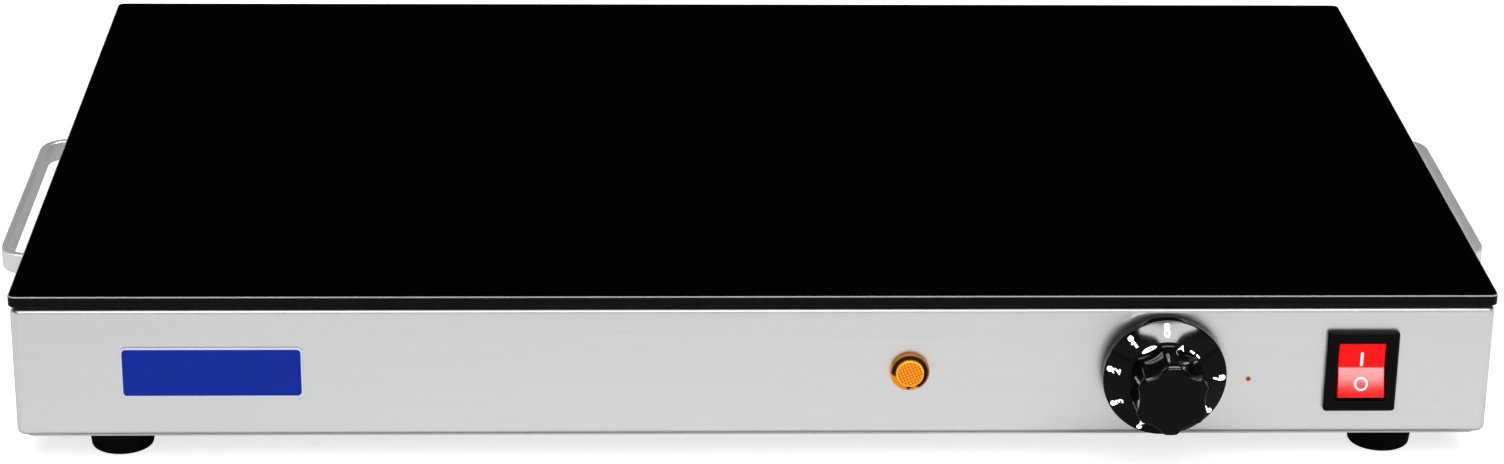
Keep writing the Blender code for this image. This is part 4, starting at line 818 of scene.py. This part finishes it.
class WARMER_OT_dial(bpy.types.Operator):
    """Fluted thermostat dial with its digits, dots and index"""

    bl_idname = "warmer.dial"
    bl_label = "Dial"

    def execute(self, context):
        dial = context.scene.warmer_dial
        knob = grid_piece("dial", on_panel(dial_grid(dial), DIAL_CENTRE), sharp_angle=30)
        gloss = moulded_gloss("Black phenolic", dial.moulding, level=0.1, roughness=0.1)
        dress(knob, "knob", "black_gloss", gloss, "thermostat_knob")
        bpy.data.collections[DIAL_GLOSS].objects.link(knob)

        low, high = JOINTS["knob_turn"]["range_deg"]
        step = (high - low) / (MARKS - 1)
        shapes = []
        dot = rounded_loop(dial.dot_radius, dial.dot_radius, dial.dot_radius, 6)
        for number in range(MARKS):
            angle = dial.first_angle + number * step
            points, faces = thick(dot, dial.relief)
            shapes.append((on_ring(points, angle, dial.dot_place, dial), faces))
            points, faces = digit_shape(str(number), dial.digit_height, dial.relief)
            shapes.append((on_ring(points, angle, dial.digit_place, dial), faces))
        # Turning marks on the flat round the grip: a closed loop, and an arrow with two dashes behind it.
        dash = rounded_loop(*DASH_HALF, DASH_CORNER, 3)
        loop = bent_ring(*LOOP_HALF, LOOP_STROKE, dial.relief)
        flat = [thick(outline, dial.relief) for outline in (np.array(ARROW), dash, dash * 0.9)]
        for (points, faces), (angle, radius) in zip((loop, *flat), SPOTS):
            shapes.append((on_hub(points, angle, radius, dial), faces))
        points, faces = join_shapes(shapes)
        marks = mesh_piece("dial_marks", on_panel(points, DIAL_CENTRE), faces)
        dress(marks, "knob", "black_gloss", print_ink("White pad print", dial.print_colour))
        bpy.data.collections[DIAL_GLOSS].objects.link(marks)

        points, faces = thick(dot * 0.9, dial.relief)
        spot = (DIAL_CENTRE[0] + INDEX_RIGHT, PANEL_Y, DIAL_CENTRE[2] - INDEX_DOWN)
        index = mesh_piece("dial_index", on_panel(points, spot), faces)
        dress(index, "tray", "red_plastic", print_ink("Red pad print", linear("C0202A")))

        paint(zinc_plate(), "thermostat_spindle")
        brass = grained(
            "Turned brass", "C9A14A", (500, 500, 2500), 0.08, 0.1, 0.00001, Metallic=1.0, Roughness=0.28
        )
        paint(brass, "knob_insert", "inlet_pin_live", "inlet_pin_earth", "inlet_pin_neutral")
        return {"FINISHED"}


class WARMER_OT_pilot_lamp(bpy.types.Operator):
    """Amber lens with a prismatic face, and its body and nut"""

    bl_idname = "warmer.pilot_lamp"
    bl_label = "Pilot lamp"

    def execute(self, context):
        lamp = context.scene.warmer_lamp
        low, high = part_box("pilot_lens")
        middle = (low + high) / 2
        out = PANEL_Y - low.y
        flange_out, face_out = out - FLANGE_DROP, out - FACE_DROP
        profile = [
            (STEM_RADIUS, -STEM_DEPTH),
            (STEM_RADIUS, FLANGE_SEAT),
            (lamp.flange_radius, FLANGE_SEAT),
            *quarter((lamp.flange_radius - FLANGE_EDGE, flange_out - FLANGE_EDGE), FLANGE_EDGE, 0, 90),
            (lamp.dome_radius + GROOVE_WIDTH, flange_out),
            (lamp.dome_radius + GROOVE_WIDTH / 2, flange_out - GROOVE_DEPTH),
            (lamp.dome_radius, flange_out),
            (lamp.dome_radius, face_out - FACE_EDGE),
            *quarter((lamp.dome_radius - FACE_EDGE, face_out - FACE_EDGE), FACE_EDGE, 0, 90, 3),
        ]
        rings, segments = 60, 300
        radii = np.linspace(lamp.dome_radius - PRISM_RIM, PRISM_CENTRE, rings)
        grid = turned_grid([*profile, *[(radius, face_out) for radius in radii]], segments)
        prisms = self.prisms(grid[-rings:, :, 0], grid[-rings:, :, 1], lamp)
        grid[-rings:, :, 2] += prisms
        lens = grid_piece(
            "pilot_lens_prismatic", on_panel(grid, (middle.x, PANEL_Y, middle.z)), sharp_angle=25
        )
        facet = np.ones(grid.shape[:2])
        facet[-rings:] = prisms / lamp.prism_height + 0.5
        lens.data.attributes.new("facet", "FLOAT", "POINT").data.foreach_set("value", facet.ravel())
        dress(lens, "tray", "amber_plastic", self.amber(lamp, middle), "pilot_lens")
        nylon = grained("Black nylon", "141414", 700, 0.1, 0.2, 0.00004, Roughness=0.5)
        paint(nylon, "pilot_body", "pilot_nut", "inlet_housing")
        paint(grained("Black sleeve", "101010", 900, 0.1, 0.2, 0.00003, Roughness=0.45), "pilot_lead")
        return {"FINISHED"}

    def prisms(self, x, y, lamp):
        """Height of small pyramids: the lower of two triangle waves, set at right angles and turned."""
        turn = math.radians(PRISM_TURN)
        along = (x * math.cos(turn) + y * math.sin(turn)) / lamp.prism_pitch
        across = (y * math.cos(turn) - x * math.sin(turn)) / lamp.prism_pitch
        wave = np.minimum(np.abs(along % 1 - 0.5), np.abs(across % 1 - 0.5)) * 2
        return lamp.prism_height * (wave - 0.5)

    def amber(self, lamp, middle):
        """Moulded amber polycarbonate, with painted light and shade on its prisms and flange.

        The dark ring on the flange is painted shade for the hole behind it. Painted light from below on the
        left fills part of the dark ring, with a ragged end. The grooves between the prisms are painted shade,
        and their tips a painted highlight.
        """
        material, tree, shader = base(
            "Amber polycarbonate", Roughness=0.12, IOR=1.58, Specular_IOR_Level=0.12, Emission_Strength=0.15
        )
        place = add(tree, "ShaderNodeTexCoord").outputs["Object"]
        centred = add(
            tree,
            "ShaderNodeMapping",
            {"Vector": place, "Location": (-middle.x, 0, -middle.z), "Scale": (1, 0, 1)},
        ).outputs["Vector"]
        radius = add(tree, "ShaderNodeVectorMath", {0: centred}, operation="LENGTH")
        share = add(
            tree, "ShaderNodeMath", {0: radius.outputs["Value"], 1: lamp.flange_radius}, operation="DIVIDE"
        ).outputs["Value"]
        # Painted shade: a dark ring on the flange stands for the shadowed hole behind the lens.
        dark = linear("120601")
        ring = ((0.725, dark), (0.91, dark), (0.94, lamp.flange))
        tones = add(
            tree,
            "ShaderNodeValToRGB",
            {"Fac": share},
            stops=((0.0, lamp.amber), (FACE_SHARE, lamp.amber), *ring),
        )
        # Painted light: noisy patches, strongest towards the lower left, lighten part of the painted dark
        # ring.
        painted_light_patches = add(tree, "ShaderNodeTexNoise", {"Vector": place, "Scale": 190.0, "Detail": 1.0})
        painted_light_direction = (-0.77 / lamp.flange_radius, 0, -0.64 / lamp.flange_radius)
        side = add(tree, "ShaderNodeVectorMath", {0: centred, 1: painted_light_direction}, operation="DOT_PRODUCT")
        painted_light_spread = add(
            tree,
            "ShaderNodeMath",
            {0: painted_light_patches.outputs["Fac"], 1: 2.4, 2: side.outputs["Value"]},
            operation="MULTIPLY_ADD",
        )
        facet = add(tree, "ShaderNodeAttribute", attribute_name="facet").outputs["Fac"]
        # Shares that rise from 0 to a top between two values: the painted light's cover, the painted shade of
        # the grooves and the painted highlight of the tips.
        painted_light_cover, groove_shade_share, tip_highlight_share = [
            add(tree, "ShaderNodeMapRange", {"Value": fac, "From Min": low, "From Max": high, "To Max": top})
            for fac, low, high, top in (
                (painted_light_spread.outputs["Value"], 1.62, 1.8, 0.85),
                (facet, 0.05, 0.45, 1.0),
                (facet, 0.55, 0.95, 0.9),
            )
        ]
        painted_ring_and_light = add(
            tree,
            "ShaderNodeMix",
            {0: painted_light_cover.outputs["Result"], 6: tones.outputs["Color"], 7: lamp.amber},
            data_type="RGBA",
        )
        # Painted shade: the grooves between the prisms are darker, by the facets' height.
        with_groove_shade = add(
            tree,
            "ShaderNodeMix",
            {0: groove_shade_share.outputs["Result"], 6: lamp.groove, 7: painted_ring_and_light.outputs[2]},
            data_type="RGBA",
        )
        # Painted highlight: the prisms' tips on the face are paler, by the facets' height.
        on_face = add(tree, "ShaderNodeMath", {0: share, 1: FACE_SHARE}, operation="LESS_THAN")
        tip_highlight_on_face = add(
            tree,
            "ShaderNodeMath",
            {0: tip_highlight_share.outputs["Result"], 1: on_face.outputs["Value"]},
            operation="MULTIPLY",
        )
        with_tip_highlight = add(
            tree,
            "ShaderNodeMix",
            {0: tip_highlight_on_face.outputs["Value"], 6: with_groove_shade.outputs[2], 7: lamp.tip},
            data_type="RGBA",
        )
        for socket in ("Base Color", "Emission Color"):
            tree.links.new(with_tip_highlight.outputs[2], shader.inputs[socket])
        return material


def face_height(up, switch):
    """Height of the rocker's two dished faces over its pivot: lines from valley to ends, less a parabola."""
    end_up = math.sqrt(switch.half_height**2 - switch.end_height**2)
    valley = switch.end_height - end_up * math.tan(math.radians(switch.tilt))
    off = up - switch.valley_place
    share = np.where(off > 0, off / (end_up - switch.valley_place), -off / (end_up + switch.valley_place))
    share = np.clip(share, 0, 1)
    return valley + (switch.end_height - valley) * share - switch.hollow * 4 * share * (1 - share)


def rocker_outline(switch, inset):
    """Outline of the rocker as up and out about its pivot, drawn in by an inset; its ends are arcs."""
    radius = switch.half_height
    ends = np.linspace(-math.asin(switch.skirt / radius), math.asin(switch.end_height / radius), 9)
    side = np.column_stack([radius * np.cos(ends), radius * np.sin(ends)])
    upper = np.linspace(side[-1, 0], switch.valley_place, 15)[1:]
    lower = np.linspace(switch.valley_place, -side[-1, 0], 15)[1:-1]
    up = np.concatenate([upper, lower])
    outline = np.concatenate([side, np.column_stack([up, face_height(up, switch)]), side[::-1] * (-1, 1)])
    run = np.roll(outline, -1, axis=0) - np.roll(outline, 1, axis=0)
    normal = np.column_stack([run[:, 1], -run[:, 0]]) / np.linalg.norm(run, axis=1)[:, None]
    return outline - normal * inset


def tilted(points, switch):
    """Turns right, up and out about the pivot by the rest tilt, with the upper half pressed in."""
    turn = math.radians(-switch.tilt)
    cosine, sine = math.cos(turn), math.sin(turn)
    right, up, out = np.moveaxis(points, -1, 0)
    return np.stack([right, up * cosine - out * sine, up * sine + out * cosine], axis=-1)


class WARMER_OT_rocker(bpy.types.Operator):
    """Red rocker with its line and ring marks, and the black housing"""

    bl_idname = "warmer.rocker"
    bl_label = "Rocker switch"

    def execute(self, context):
        switch = context.scene.warmer_switch
        loops = []
        sides = quarter((switch.edge - switch.half_length, switch.edge), switch.edge, 180, 270, 4)
        for place, inset in sides + [(-place, inset) for place, inset in reversed(sides)]:
            outline = rocker_outline(switch, inset)
            loops.append(np.column_stack([np.full(len(outline), place), outline]))
        grid = np.array(loops)
        body = grid_piece("rocker", on_panel(tilted(grid, switch), ROCKER_PIVOT), sharp_angle=40)
        red = moulded_gloss("Red polycarbonate", switch.red, level=0.15, roughness=0.13)
        dress(body, "rocker", "red_plastic", red, "switch_rocker")
        bpy.data.collections[ROCKER_GLOSS].objects.link(body)

        bar = rounded_loop(switch.line_width / 2, switch.line_length / 2, LEAST_CORNER, 2)
        line = thick(bar, switch.relief)
        ring = bent_ring(switch.ring_radius, switch.ring_radius, switch.ring_width, switch.relief)
        shapes = []
        for (points, faces), place in ((line, switch.line_place), (ring, switch.ring_place)):
            points = points + (0, place, 0)
            points[:, 2] += face_height(points[:, 1], switch)
            shapes.append((points, faces))
        points, faces = join_shapes(shapes)
        marks = mesh_piece("rocker_marks", on_panel(tilted(points, switch), ROCKER_PIVOT), faces)
        dress(marks, "rocker", "red_plastic", print_ink("White rocker print", linear("FFFFFF")))
        bpy.data.collections[ROCKER_GLOSS].objects.link(marks)

        nylon = moulded_gloss("Black glass-filled nylon", "020202", level=0.08, roughness=0.2)
        paint(nylon, "switch_housing")
        return {"FINISHED"}


class WARMER_OT_badge(bpy.types.Operator):
    """Bare plate of blue resin with a pale rim"""

    bl_idname = "warmer.badge"
    bl_label = "Badge plate"

    def execute(self, context):
        badge = context.scene.warmer_badge
        low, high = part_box("badge_plate")
        middle = (low + high) / 2
        half = (high - low) / 2
        back, front = PANEL_Y - high.y, PANEL_Y - low.y
        centre = (middle.x, PANEL_Y, middle.z)
        edge = BADGE_EDGE
        rim_section = [(0, back), *quarter((edge, front - 2 * edge), edge, 180, 90, 3)]
        rim_grid = slab_grid(half.x, half.z, badge.corner, rim_section)
        rim = grid_piece("badge_rim", on_panel(rim_grid, centre))
        pale = grained("Bright nickel rim", badge.rim_colour, 900, 0.03, 0.05, 0.00001, Roughness=0.2)
        dress(rim, "tray", "blue_plate", pale, "badge_plate")
        face_edge = quarter((badge.rim + edge, front - edge), edge, 180, 90, 4)
        face_section = [(badge.rim, back + edge), *face_edge]
        face_grid = slab_grid(half.x, half.z, badge.corner, face_section)
        face = grid_piece("badge_face", on_panel(face_grid, centre))
        resin = grained(
            "Blue doming resin", badge.blue, 300, 0.08, 0.08, 0.00003, Roughness=0.16, Specular_IOR_Level=0.1
        )
        dress(face, "tray", "blue_plate", resin)
        return {"FINISHED"}


class WARMER_OT_inside(bpy.types.Operator):
    """Finishes of the heating parts, wires and thermostat inside"""

    bl_idname = "warmer.inside"
    bl_label = "Inside"

    def execute(self, context):
        paint(
            grained(
                "Mill aluminium", "D5D6D8", (40, 900, 40), 0.05, 0.1, 0.00001, Metallic=1.0, Roughness=0.32
            ),
            "heat_spreader",
            "reflector_pan",
        )
        paint(
            grained("Ceramic fibre", "DAD7CD", 350, 0.12, 0.8, 0.0006, detail=8.0, Roughness=0.95),
            "insulation_blanket",
        )
        paint(
            grained("Oxidised sheath", "4A443E", 120, 0.2, 0.2, 0.00004, Metallic=1.0, Roughness=0.5),
            "heating_element",
        )
        paint(
            grained("Drawn copper", "D08E62", 700, 0.08, 0.1, 0.00001, Metallic=1.0, Roughness=0.28),
            "sensor_bulb",
            "thermostat_capillary",
        )
        paint(grained("Grey phenolic", "8A8B8C", 700, 0.08, 0.2, 0.00004, Roughness=0.5), "thermostat_body")
        live = ("wire_live_in", "wire_switch_to_thermostat", "wire_heater_live")
        for name, tone, nodes in (
            ("Brown silicone sleeve", "5B3019", live),
            ("Blue silicone sleeve", "2A70C4", ("wire_neutral_in", "wire_heater_neutral")),
            ("Green silicone sleeve", "4E9A2C", ("wire_earth",)),
        ):
            paint(grained(name, tone, 700, 0.08, 0.2, 0.00003, Roughness=0.45), *nodes)
        return {"FINISHED"}


STEPS = (
    WARMER_OT_stage,
    WARMER_OT_glass,
    WARMER_OT_sheet_metal,
    WARMER_OT_feet,
    WARMER_OT_dial,
    WARMER_OT_pilot_lamp,
    WARMER_OT_rocker,
    WARMER_OT_badge,
    WARMER_OT_inside,
)


class WARMER_PT_panel(bpy.types.Panel):
    """Lists the settings and the steps"""

    bl_label = "Food warmer"
    bl_idname = "WARMER_PT_panel"
    bl_space_type = "VIEW_3D"
    bl_region_type = "UI"
    bl_category = "Food warmer"

    def draw(self, context):
        for step in STEPS:
            self.layout.operator(step.bl_idname)
        for name, group in SETTINGS.items():
            box = self.layout.box()
            box.label(text=group.__doc__)
            for key in group.__annotations__:
                box.prop(getattr(context.scene, name), key)


SETTINGS = {
    "warmer_stage": StageSettings,
    "warmer_glass": GlassSettings,
    "warmer_steel": SteelSettings,
    "warmer_dial": DialSettings,
    "warmer_lamp": LampSettings,
    "warmer_switch": SwitchSettings,
    "warmer_badge": BadgeSettings,
    "warmer_foot": FootSettings,
}


def register():
    for group in (*SETTINGS.values(), *STEPS, WARMER_PT_panel):
        bpy.utils.register_class(group)
    for name, group in SETTINGS.items():
        setattr(bpy.types.Scene, name, PointerProperty(type=group))


def unregister():
    for name in SETTINGS:
        delattr(bpy.types.Scene, name)
    for group in (WARMER_PT_panel, *reversed(STEPS), *reversed(SETTINGS.values())):
        bpy.utils.unregister_class(group)


def clear_startup_objects():
    """Removes the cube, lamp and camera that Blender starts with."""
    for name in ("Cube", "Light", "Camera"):
        found = bpy.data.objects.get(name)
        if found:
            bpy.data.objects.remove(found)


def main():
    clear_startup_objects()
    register()
    bpy.ops.warmer.stage()
    bpy.ops.warmer.glass()
    bpy.ops.warmer.sheet_metal()
    bpy.ops.warmer.feet()
    bpy.ops.warmer.dial()
    bpy.ops.warmer.pilot_lamp()
    bpy.ops.warmer.rocker()
    bpy.ops.warmer.badge()
    bpy.ops.warmer.inside()


if __name__ == "__main__":
    main()
